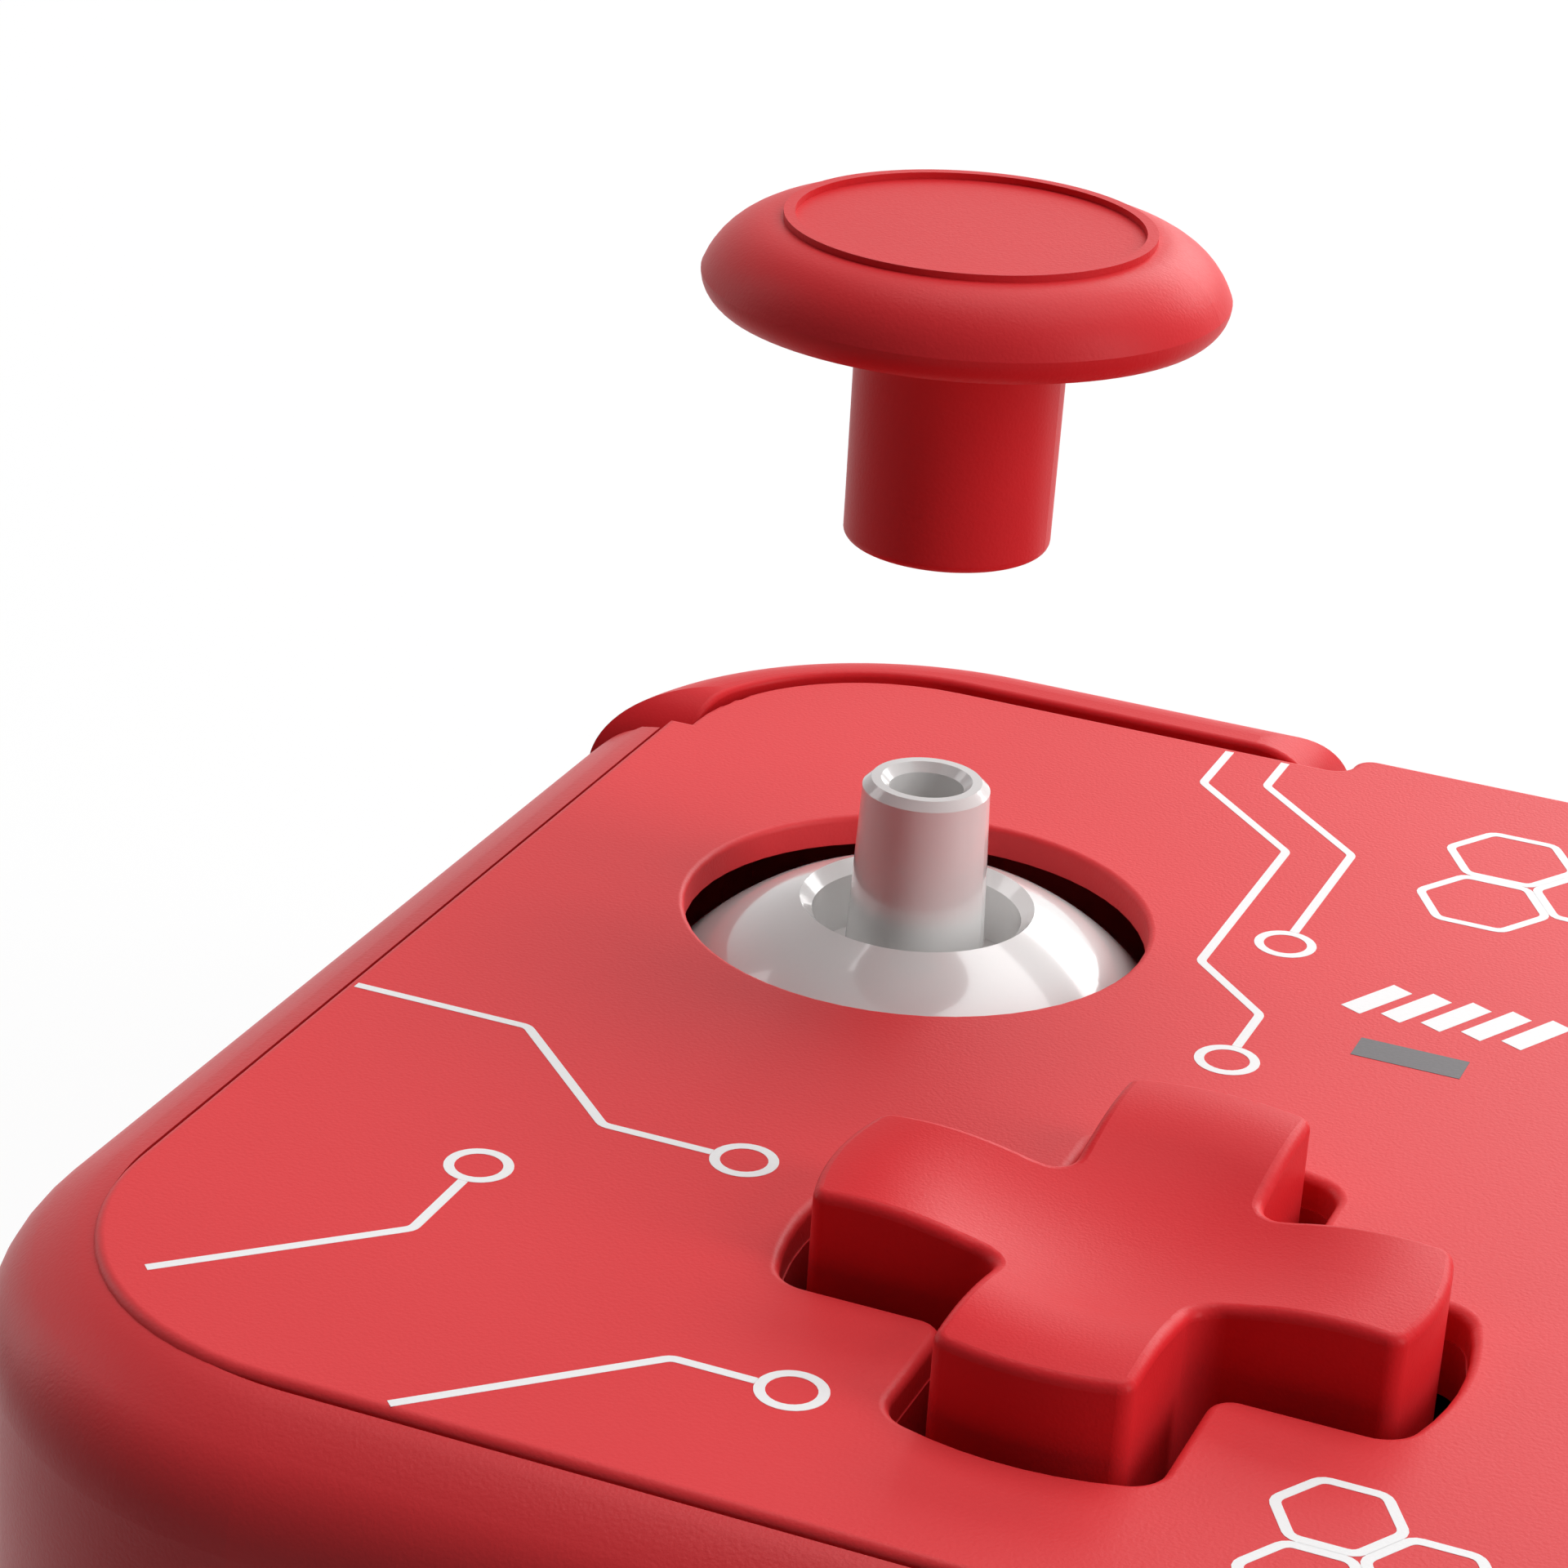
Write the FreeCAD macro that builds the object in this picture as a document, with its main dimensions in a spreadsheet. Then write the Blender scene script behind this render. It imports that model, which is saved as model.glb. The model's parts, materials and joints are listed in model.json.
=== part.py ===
import FreeCAD
import Part
import Sketcher
import math
import os

# Flat gamepad with pull-off stick caps, in millimetres.
# The origin is on the back face, under the middle of the housing.
# +X points to the player's right, +Y away from the player and +Z out of the faceplate.

# Driving dimensions. Each becomes one cell of the sheet, with its name as the alias.
DRIVING = {
    # housing
    "body_width": 148.0,
    "body_depth": 71.1,
    "face_height": 24.0,
    "parting_height": 10.0,
    "body_corner": 15.0,
    "wall": 2.0,
    "floor_thickness": 1.8,
    "rim_round": 3.3,
    "base_round": 4.0,
    "seam_chamfer": 0.25,
    # faceplate and the skin that carries it
    "plate_thickness": 1.2,
    "plate_proud": 0.7,
    "plate_margin": 3.8,
    "plate_back_margin": 2.8,
    "plate_corner": 10.3,
    "plate_gap": 0.15,
    "plate_edge": 0.35,
    "skin": 2.0,
    "skin_step": 0.05,
    # places of the controls
    "stick_side": 19.6,
    "stick_back": 26.3,
    "pad_side": 35.8,
    "pad_front": 20.95,
    # thumbstick, heights counted from its pivot
    "stick_hole": 8.8,
    "hole_edge": 0.25,
    "skin_clear": 4.5,
    "pivot_drop": 11.2,
    "dome_radius": 12.4,
    "dome_wall": 1.1,
    "dome_skirt_angle": 68.0,
    "collar_radius": 3.975,
    "collar_chamfer": 0.475,
    "collar_wall": 0.9,
    "collar_floor": 8.9,
    "collar_floor_thickness": 1.2,
    "post_top": 16.6,
    "post_top_radius": 2.4,
    "post_foot_radius": 2.675,
    "post_bore": 1.4,
    "post_bore_depth": 4.0,
    "post_chamfer": 0.32,
    "lever_radius": 1.5,
    "lever_top": 11.6,
    "lever_foot": 3.0,
    "lever_fit": 0.05,
    "socket_foot": 6.2,
    "socket_wall": 1.5,
    "click_travel": 0.5,
    # pull-off cap
    "cap_lift": 17.0,
    "cap_seat_gap": 0.25,
    "cap_fit": 0.1,
    "cap_radius": 9.47,
    "cap_foot_radius": 3.785,
    "cap_neck_radius": 3.85,
    "cap_stem": 8.9,
    "cap_bore_spare": 0.35,
    "cap_rim": 0.9,
    "cap_height": 3.1,
    "cap_bead_radius": 6.65,
    "cap_bead_width": 0.4,
    "cap_bead_height": 0.25,
    "cap_foot_round": 0.35,
    # stick module
    "module_half": 7.0,
    "module_wall": 1.1,
    "module_base": 1.0,
    "module_rise": 1.6,
    "yoke_half_length": 5.5,
    "yoke_half_width": 2.5,
    "yoke_half_height": 1.4,
    "yoke_slot": 2.7,
    "yoke_shaft": 1.1,
    "arch_inner": 4.4,
    "arch_wall": 1.0,
    "arch_half_width": 2.4,
    "arch_slot": 3.4,
    "arch_side_gap": 0.15,
    "running_fit": 0.05,
    "lever_side_gap": 0.1,
    "pin_radius": 0.55,
    "sensor_depth": 2.2,
    "sensor_half_width": 4.0,
    "click_half": 2.0,
    "click_body": 1.6,
    "click_plunger": 1.0,
    "click_plunger_height": 0.6,
    # directional pad
    "well_reach": 11.03,
    "well_half": 4.36,
    "well_inner_round": 0.9,
    "well_outer_round": 1.3,
    "cross_end_gap": 0.88,
    "cross_side_gap": 1.16,
    "cross_edge": 0.35,
    "cross_corner": 0.6,
    "cross_inner_round": 1.0,
    "cross_middle": 1.75,
    "cross_crest": 2.8,
    "cross_crest_reach": 8.4,
    "cross_hollow_share": 0.67,
    "rocker_lap": 1.0,
    "rocker_thickness": 1.4,
    "rocker_room": 1.9,
    "pivot_ball": 1.2,
    "pivot_fit": 0.1,
    # face buttons and menu buttons
    "button_ring": 8.8,
    "button_radius": 4.75,
    "button_gap": 0.25,
    "button_rise": 2.0,
    "button_crown": 0.35,
    "button_edge": 0.8,
    "button_flange": 0.5,
    "flange_thickness": 1.15,
    "flange_gap": 0.25,
    "button_foot": 2.6,
    "button_foot_length": 1.2,
    "menu_outer_room": 22.2,
    "menu_outer_back": 20.8,
    "menu_inner_x": 9.0,
    "menu_inner_back": 32.8,
    "menu_outer_radius": 2.6,
    "menu_inner_radius": 3.3,
    "menu_rise": 0.8,
    "menu_edge": 0.4,
    "menu_foot": 1.4,
    # boards, battery and charging socket
    "board_thickness": 1.2,
    "main_board_top": 5.6,
    "button_board_drop": 8.3,
    "board_edge_gap": 0.9,
    "main_lap": 1.9,
    "main_inset": 12.3,
    "weight_room": 6.3,
    "main_tongue": 8.0,
    "battery_room": 7.0,
    "battery_depth": 19.0,
    "battery_height": 5.6,
    "battery_offset": 2.85,
    "battery_round": 1.2,
    "glue_gap": 0.15,
    "socket_width": 9.0,
    "socket_height": 3.2,
    "socket_length": 7.5,
    "socket_skin": 0.3,
    "socket_back": 1.0,
    "socket_inset": 0.7,
    "socket_room": 0.35,
    "socket_tongue_width": 6.7,
    "socket_tongue_height": 0.7,
    "socket_tongue_length": 5.0,
    # membranes
    "membrane": 1.0,
    "membrane_gap": 0.15,
    "dome_base": 2.3,
    "dome_taper_angle": 20.0,
    "pad_membrane_radius": 11.4,
    "pad_membrane_hole": 2.6,
    "pad_dome_reach": 8.2,
    "button_membrane_lap": 3.7,
    "menu_membrane_margin": 4.2,
    "membrane_corner": 3.0,
    # case screws and board screws
    "boss_radius": 2.7,
    "boss_side_inset": 7.5,
    "boss_side_y": 4.25,
    "boss_edge_room": 13.2,
    "boss_edge_inset": 6.5,
    "screw_radius": 1.0,
    "screw_head_radius": 1.9,
    "screw_head_height": 1.4,
    "screw_bite": 4.5,
    "screw_fit": 0.15,
    "thread_fit": 0.03,
    "head_depth": 2.2,
    "hex_radius": 0.9,
    "hex_depth": 0.7,
    "standoff_radius": 2.1,
    "standoff_back_room": 14.4,
    "standoff_back_rise": 7.5,
    "standoff_front_room": 12.2,
    "standoff_front_drop": 5.65,
    "post_front_room": 18.2,
    "post_left_room": 15.7,
    "post_right_room": 4.2,
    "post_back_inset": 18.3,
    "board_screw_radius": 0.8,
    "board_screw_head": 1.6,
    "board_screw_head_height": 1.0,
    "board_screw_bite": 2.2,
    # niche for bumper and trigger
    "niche_end_side": 30.4,
    "niche_side": 5.8,
    "niche_depth": 10.5,
    "niche_wall": 1.4,
    "niche_floor": 1.4,
    # bumper
    "bumper_gap": 0.4,
    "bumper_end_gap": 0.8,
    "bumper_shelf_gap": 0.6,
    "bumper_arc_side": 13.4,
    "bumper_arc_back": 13.3,
    "bumper_arc": 9.05,
    "bumper_proud": 0.08,
    "bumper_rise": 0.2,
    "bumper_height": 4.8,
    "bumper_round": 3.3,
    "bumper_edge": 0.25,
    "lug_thickness": 1.5,
    "lug_gap": 0.3,
    "lug_width": 3.6,
    "lug_inset": 2.0,
    "lug_pivot_back": 7.2,
    "lug_pin": 1.15,
    "nub_side": 12.0,
    "nub_width": 2.8,
    "nub_gap": 0.17,
    "switch_width": 6.0,
    "switch_depth": 1.8,
    "switch_height": 2.4,
    "switch_plunger": 0.8,
    "switch_plunger_length": 0.5,
    # trigger
    "trigger_pivot_back": 8.0,
    "trigger_pivot_z": 15.6,
    "trigger_hub": 2.0,
    "trigger_pin": 1.0,
    "trigger_gap": 0.4,
    "trigger_start_gap": 3.2,
    "trigger_apron": 2.9,
    "trigger_lip": 0.6,
    "trigger_top_reach": 2.2,
    "trigger_top_z": 18.7,
    "trigger_round": 1.4,
    "trigger_hollow": 12.0,
    "trigger_tip_reach": 3.6,
    "trigger_tip_z": 10.6,
    "trigger_tip_round": 0.9,
    "trigger_room": 1.0,
    "trigger_corner": 6.0,
    "spring_wire": 0.65,
    "spring_turns": 4.0,
    "spring_fit": 0.15,
    "pad_switch_width": 5.0,
    "pad_switch_depth": 4.0,
    "pad_switch_height": 0.8,
    "pad_switch_inset": 3.5,
    "pad_switch_plunger": 1.0,
    "pad_switch_plunger_height": 0.3,
    # rumble motors
    "motor_side": 13.0,
    "motor_inset": 7.3,
    "motor_length": 12.0,
    "motor_radius": 4.5,
    "motor_height": 7.0,
    "motor_shaft": 0.75,
    "motor_bore_depth": 2.5,
    "weight_radius": 4.6,
    "weight_length": 3.6,
    "weight_hub": 1.7,
    "weight_gap": 0.6,
    "saddle_thickness": 1.6,
    "saddle_inset": 2.0,
    "saddle_half_width": 5.4,
}

# Dimensions that follow from others. Each becomes one cell with a formula.
DERIVED = {
    # places of the controls
    "half_width": "body_width / 2",
    "half_depth": "body_depth / 2",
    "stick_x": "half_width - stick_side",
    "stick_y": "half_depth - stick_back",
    "pad_x": "half_width - pad_side",
    "pad_y": "half_depth - pad_front",
    "menu_outer_x": "pad_x - menu_outer_room",
    "menu_outer_y": "half_depth - menu_outer_back",
    "menu_inner_y": "half_depth - menu_inner_back",
    # screw bosses
    "boss_side_x": "half_width - boss_side_inset",
    "boss_edge_x": "pad_x - boss_edge_room",
    "boss_edge_y": "half_depth - boss_edge_inset",
    "standoff_back_x": "stick_x - standoff_back_room",
    "standoff_back_y": "stick_y + standoff_back_rise",
    "standoff_front_x": "pad_x - standoff_front_room",
    "standoff_front_y": "pad_y + standoff_front_drop",
    "post_front_x": "pad_x - post_front_room",
    "post_front_y": "half_depth - main_inset",
    "post_left_x": "pad_x - post_left_room",
    "post_right_x": "pad_x - post_right_room",
    "post_back_y": "half_depth - post_back_inset",
    # boards, rumble motors and battery
    "button_board_top": "face_height - button_board_drop",
    "motor_x": "half_width - motor_side",
    "motor_front": "half_depth - motor_inset",
    "main_half_width": "boss_side_x - boss_radius - board_edge_gap",
    "main_front_half_width": "pad_x + module_half + main_lap",
    "main_end": "half_depth - main_inset",
    "main_step": "motor_front - motor_length - weight_gap - weight_length - weight_room",
    "battery_width": "2 * (pad_x - module_half - sensor_depth - battery_room)",
    "battery_y": "pad_y - battery_offset",
    # bumpers and triggers
    "niche_end_x": "half_width - niche_end_side",
    "niche_side_x": "half_width - niche_side",
    "niche_front": "half_depth - niche_depth",
    "bumper_arc_x": "half_width - bumper_arc_side",
    "bumper_arc_y": "half_depth - bumper_arc_back",
    "lug_pivot_x": "niche_end_x + bumper_end_gap + lug_inset",
    "lug_pivot_y": "half_depth - lug_pivot_back",
    "nub_x": "half_width - nub_side",
    "nub_reach": "niche_front + switch_depth + switch_plunger_length + nub_gap",
    "trigger_start": "niche_end_x + trigger_start_gap",
    "trigger_end": "niche_side_x - trigger_gap",
    "trigger_pivot_y": "half_depth - trigger_pivot_back",
    "trigger_top_y": "half_depth + trigger_top_reach",
    "trigger_tip_y": "half_depth + trigger_tip_reach",
    "pad_switch_y": "half_depth - pad_switch_inset",
}

SHEET = "Sizes"


class Size:
    """A number together with the sheet expression that gives it."""

    def __init__(self, number, text):
        self.number = float(number)
        self.text = text

    def __float__(self):
        return self.number

    def __add__(self, other):
        other = size(other)
        return Size(self.number + other.number, f"({self.text} + {other.text})")

    def __radd__(self, other):
        return size(other) + self

    def __sub__(self, other):
        other = size(other)
        return Size(self.number - other.number, f"({self.text} - {other.text})")

    def __rsub__(self, other):
        return size(other) - self

    def __mul__(self, other):
        other = size(other)
        return Size(self.number * other.number, f"({self.text} * {other.text})")

    def __rmul__(self, other):
        return size(other) * self

    def __truediv__(self, other):
        other = size(other)
        return Size(self.number / other.number, f"({self.text} / {other.text})")

    def __neg__(self):
        return Size(-self.number, f"(-1 * {self.text})")


def size(value):
    """Return a value as a Size; a plain number stands for itself."""
    return value if isinstance(value, Size) else Size(value, repr(float(value)))


def root(value):
    """Square root of a Size."""
    return Size(math.sqrt(value.number), f"sqrt({value.text})")


def sine(angle):
    """Sine of a Size in degrees."""
    return Size(math.sin(math.radians(angle.number)), f"sin({angle.text})")


def cosine(angle):
    """Cosine of a Size in degrees."""
    return Size(math.cos(math.radians(angle.number)), f"cos({angle.text})")


class Sizes:
    """The dimensions of the sheet, each as an attribute that is a Size."""


def fill_sheet(document):
    """Write the driving and derived dimensions into the sheet and return them as Sizes."""
    sheet = document.addObject("Spreadsheet::Sheet", SHEET)
    cells = {name: str(number) for name, number in DRIVING.items()}
    cells.update({name: f"={formula}" for name, formula in DERIVED.items()})
    for row, (name, content) in enumerate(cells.items(), 1):
        sheet.set(f"A{row}", name)
        sheet.set(f"B{row}", content)
        sheet.setAlias(f"B{row}", name)
    document.recompute()
    sizes = Sizes()
    for name in cells:
        setattr(sizes, name, Size(sheet.get(name), f"{SHEET}.{name}"))
    return sizes


doc = FreeCAD.newDocument("gamepad")
S = fill_sheet(doc)
parts = []

# Heights and places that several pieces share
PLATE_SEAT = S.face_height - S.plate_thickness
RIM = S.face_height - S.plate_proud
CEILING = PLATE_SEAT - S.skin
NICHE_BOTTOM = S.parting_height + S.niche_floor
NOTCH_ARC = S.bumper_arc - S.bumper_gap
PIVOT = S.face_height - S.pivot_drop
LEFT, RIGHT = -1, 1
LEFT_STICK = (-S.stick_x, S.stick_y)
RIGHT_STICK = (S.pad_x, -S.pad_y)
PAD = (-S.pad_x, -S.pad_y)
BUTTONS = (S.stick_x, S.stick_y)
FACE_BUTTONS = {
    "right_face_button": (S.stick_x + S.button_ring, S.stick_y),
    "back_face_button": (S.stick_x, S.stick_y + S.button_ring),
    "left_face_button": (S.stick_x - S.button_ring, S.stick_y),
    "front_face_button": (S.stick_x, S.stick_y - S.button_ring),
}
MENU_BUTTONS = {
    "minus_button": (-S.menu_outer_x, S.menu_outer_y, S.menu_outer_radius),
    "plus_button": (S.menu_outer_x, S.menu_outer_y, S.menu_outer_radius),
    "capture_button": (-S.menu_inner_x, S.menu_inner_y, S.menu_inner_radius),
    "home_button": (S.menu_inner_x, S.menu_inner_y, S.menu_inner_radius),
}
CASE_BOSSES = [
    (S.boss_side_x, -S.boss_side_y),
    (-S.boss_side_x, -S.boss_side_y),
    (S.boss_edge_x, S.boss_edge_y),
    (-S.boss_edge_x, S.boss_edge_y),
    (S.boss_edge_x, -S.boss_edge_y),
    (-S.boss_edge_x, -S.boss_edge_y),
]
STANDOFFS = [
    (S.standoff_back_x, S.standoff_back_y),
    (-S.standoff_back_x, S.standoff_back_y),
    (S.standoff_front_x, -S.standoff_front_y),
    (-S.standoff_front_x, -S.standoff_front_y),
]
BOARD_BOSSES = [
    (-S.post_front_x, -S.post_front_y),
    (S.post_front_x, -S.post_front_y),
    (-S.post_left_x, S.post_back_y),
    (S.post_right_x, S.post_back_y),
]


# Document helpers

def bind(thing, path, value):
    """Set a property from a Size by expression."""
    thing.setExpression(path, size(value).text)


def new_body(label, place=(0, 0, 0)):
    """Start a sub-part with its own label and placement."""
    body = doc.addObject("PartDesign::Body", label)
    body.Label = label
    for axis, value in zip("xyz", place):
        bind(body, f".Placement.Base.{axis}", value)
    parts.append(body)
    return body


def feature(body, kind):
    """Add a feature to a body under a name of its own."""
    return body.newObject(f"PartDesign::{kind}", f"{body.Label}_{kind.lower()}")


def lay_loop(sketch, path):
    """Draw a closed loop whose vertices are held by the sheet.

    A vertex is (x, y), reached by a line, or (x, y, radius, turn), reached by an arc that turns
    left (1) or right (-1).
    """
    first = sketch.GeometryCount
    ends = []
    for here, there in zip(path, path[1:] + path[:1]):
        start = FreeCAD.Vector(float(here[0]), float(here[1]), 0)
        stop = FreeCAD.Vector(float(there[0]), float(there[1]), 0)
        if len(there) == 2:
            sketch.addGeometry(Part.LineSegment(start, stop))
            ends.append((1, 2))
        else:
            radius, turn = float(there[2]), there[3]
            chord = stop - start
            middle = (start + stop) / 2
            side = FreeCAD.Vector(-chord.y, chord.x, 0).normalize() * turn
            sag = radius - math.sqrt(max(radius**2 - (chord.Length / 2) ** 2, 0))
            top = middle - side * sag
            sketch.addGeometry(Part.Arc(start, top, stop))
            ends.append((1, 2) if turn > 0 else (2, 1))
    rules, bound = [], []
    count = len(path)
    for i, vertex in enumerate(path):
        after = (i + 1) % count
        rules.append(Sketcher.Constraint("Coincident", first + i, ends[i][1], first + after, ends[after][0]))
        for rule, value in (("DistanceX", vertex[0]), ("DistanceY", vertex[1])):
            bound.append((len(rules), value))
            rules.append(Sketcher.Constraint(rule, -1, 1, first + i, ends[i][0], float(value)))
        arc = path[after]
        if len(arc) == 4:
            bound.append((len(rules), arc[2]))
            rules.append(Sketcher.Constraint("Radius", first + i, float(arc[2])))
    hold(sketch, rules, bound)


def lay_circle(sketch, x, y, radius):
    """Draw a circle whose centre and radius are held by the sheet."""
    centre = FreeCAD.Vector(float(x), float(y), 0)
    number = sketch.GeometryCount
    sketch.addGeometry(Part.Circle(centre, FreeCAD.Vector(0, 0, 1), float(radius)))
    rules = [
        Sketcher.Constraint("DistanceX", -1, 1, number, 3, float(x)),
        Sketcher.Constraint("DistanceY", -1, 1, number, 3, float(y)),
        Sketcher.Constraint("Radius", number, float(radius)),
    ]
    hold(sketch, rules, [(0, x), (1, y), (2, radius)])


def hold(sketch, rules, bound):
    """Add constraints to a sketch and bind the numbered ones to their Sizes."""
    before = sketch.ConstraintCount
    sketch.addConstraint(rules)
    for number, value in bound:
        if isinstance(value, Size):
            bind(sketch, f"Constraints[{before + number}]", value)


def draw(body, plane, level, loops=(), circles=()):
    """Make a sketch on a body's own origin plane, lifted to a level along that plane's axis."""
    sketch = body.newObject("Sketcher::SketchObject", f"{body.Label}_sketch")
    origin = [f for f in body.Origin.OriginFeatures if f.Role == plane + "_Plane"][0]
    sketch.AttachmentSupport = (origin, [""])
    sketch.MapMode = "FlatFace"
    along = -size(level) if plane == "XZ" else level
    bind(sketch, ".AttachmentOffset.Base.z", along)
    for path in loops:
        lay_loop(sketch, list(path))
    for circle in circles:
        lay_circle(sketch, *circle)
    return sketch


def pad(body, sketch, length, back=False, both=False, draft=None):
    """Raise a sketch by a length along its normal, backwards, or to both sides."""
    made = feature(body, "Pad")
    made.Profile = sketch
    bind(made, "Length", length)
    made.Reversed = back
    if both:
        made.SideType = "Symmetric"
    if draft is not None:
        bind(made, "TaperAngle", draft)
    return made


def cut(body, sketch, depth, ahead=True, both=False):
    """Cut a sketch to a depth ahead along its normal, or behind it."""
    made = feature(body, "Pocket")
    made.Profile = sketch
    bind(made, "Length", depth)
    made.Reversed = ahead
    if both:
        made.SideType = "Symmetric"
    return made


def turn(body, sketch, kind="Revolution", axis="V_Axis"):
    """Revolve a sketch, or groove with it, about one of the sketch's own axes."""
    made = feature(body, kind)
    made.Profile = sketch
    made.ReferenceAxis = (sketch, [axis])
    made.Angle = 360
    return made


def dress(body, kind, amount, chosen):
    """Fillet or chamfer the edges of a body that a test chooses."""
    doc.recompute()
    base = body.Tip
    names = [f"Edge{n}" for n, edge in enumerate(base.Shape.Edges, 1) if chosen(edge)]
    made = feature(body, kind)
    made.Base = (base, names)
    bind(made, "Radius" if kind == "Fillet" else "Size", amount)
    return made


NEAR = 1e-4


def level_at(height):
    """Test for an edge that lies wholly at one height."""
    z = float(height)

    def test(edge):
        box = edge.BoundBox
        return abs(box.ZMin - z) < NEAR and abs(box.ZMax - z) < NEAR

    return test


def upright_at(points):
    """Test for an upright edge that stands at one of the points."""
    spots = [(float(p[0]), float(p[1])) for p in points]

    def test(edge):
        box = edge.BoundBox
        thin = max(box.XLength, box.YLength) < NEAR
        return thin and any(
            abs(box.XMin - x) < NEAR and abs(box.YMin - y) < NEAR for x, y in spots
        )

    return test


# Outlines that pieces share

def rounded_box(x, y, width, depth, corner):
    """Rectangle about a centre with round corners."""
    east, west = x + width / 2, x - width / 2
    north, south = y + depth / 2, y - depth / 2
    return [
        (west + corner, south, corner, 1),
        (east - corner, south),
        (east, south + corner, corner, 1),
        (east, north - corner),
        (east - corner, north, corner, 1),
        (west + corner, north),
        (west, north - corner, corner, 1),
        (west, south + corner),
    ]


def box_path(west, south, east, north):
    """Plain rectangle between two corners, given in either order of X."""
    if float(west) > float(east):
        west, east = east, west
    return [(west, south), (east, south), (east, north), (west, north)]


def notched_front(half_width, front, corner, back):
    """Front outline with round front corners and a notch for each bumper at the back corners."""
    jog = S.bumper_arc_y - S.bumper_gap
    side = S.bumper_arc_x + NOTCH_ARC
    top = S.bumper_arc_y + NOTCH_ARC
    bend = back - corner
    if float(jog) > float(bend):
        edge = half_width - corner + root(corner * corner - (jog - bend) * (jog - bend))
        east = [(half_width, bend), (edge, jog, corner, 1)]
        west = [(-edge, jog), (-half_width, bend, corner, 1)]
    else:
        east, west = [(half_width, jog)], [(-half_width, jog)]
    right = [
        *east,
        (side, jog),
        (side, S.bumper_arc_y),
        (S.bumper_arc_x, top, NOTCH_ARC, 1),
        (S.niche_end_x, top),
        (S.niche_end_x, back),
    ]
    left = [
        (-S.niche_end_x, back),
        (-S.niche_end_x, top),
        (-S.bumper_arc_x, top),
        (-side, S.bumper_arc_y, NOTCH_ARC, 1),
        (-side, jog),
        *west,
    ]
    start = [
        (corner - half_width, front, corner, 1),
        (half_width - corner, front),
        (half_width, front + corner, corner, 1),
    ]
    return start + right + left + [(-half_width, front + corner)]


def notch_corners(back):
    """Upright corners of the bumper notches beside the straight back edge."""
    top = S.bumper_arc_y + NOTCH_ARC
    return [(side * S.niche_end_x, y) for side in (LEFT, RIGHT) for y in (top, back)]


def cross_path(x, y, reach, half):
    """Four-armed cross with round arm ends about a centre."""
    end = root(reach * reach - half * half)
    return [
        (x + end, y - half),
        (x + end, y + half, reach, 1),
        (x + half, y + half),
        (x + half, y + end),
        (x - half, y + end, reach, 1),
        (x - half, y + half),
        (x - end, y + half),
        (x - end, y - half, reach, 1),
        (x - half, y - half),
        (x - half, y - end),
        (x + half, y - end, reach, 1),
        (x + half, y - half),
    ]


def cross_corners(x, y, reach, half):
    """Inner and outer corners of such a cross."""
    path = cross_path(x, y, reach, half)
    inner = [path[n][:2] for n in (2, 5, 8, 11)]
    outer = [path[n][:2] for n in (0, 1, 3, 4, 6, 7, 9, 10)]
    return inner, outer


def control_holes(more):
    """Round holes of the front for sticks and buttons, the sticks' widened for the skin."""
    holes = [(x, y, S.stick_hole + more) for x, y in (LEFT_STICK, RIGHT_STICK)]
    holes += [(x, y, S.button_radius + S.button_gap) for x, y in FACE_BUTTONS.values()]
    holes += [(x, y, r + S.button_gap) for x, y, r in MENU_BUTTONS.values()]
    return holes


def hexagons(spots, radius):
    """A hexagon at each spot."""
    corners = [(math.cos(math.radians(60 * n)), math.sin(math.radians(60 * n))) for n in range(6)]
    return [[(x + radius * c, y + radius * s) for c, s in corners] for x, y in spots]


# Housing

def make_faceplate():
    """Thin plate over the whole front."""
    body = new_body("faceplate")
    back = S.half_depth - S.plate_back_margin
    outline = notched_front(
        S.half_width - S.plate_margin, S.plate_margin - S.half_depth, S.plate_corner, back
    )
    pad(body, draw(body, "XY", PLATE_SEAT, [outline], control_holes(0)), S.plate_thickness)
    well = cross_path(*PAD, S.well_reach, S.well_half)
    cut(body, draw(body, "XY", PLATE_SEAT, [well]), S.plate_thickness)
    inner, outer = cross_corners(*PAD, S.well_reach, S.well_half)
    dress(body, "Fillet", S.well_inner_round, upright_at(inner + notch_corners(back)))
    dress(body, "Fillet", S.well_outer_round, upright_at(outer))
    on_face = level_at(S.face_height)

    def round_stick(edge):
        middle = edge.BoundBox.Center
        spots = (LEFT_STICK, RIGHT_STICK)
        return any(math.hypot(middle.x - float(x), middle.y - float(y)) < NEAR for x, y in spots)

    dress(body, "Fillet", S.hole_edge, lambda edge: on_face(edge) and round_stick(edge))
    dress(body, "Fillet", S.plate_edge, lambda edge: on_face(edge) and not round_stick(edge))


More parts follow.
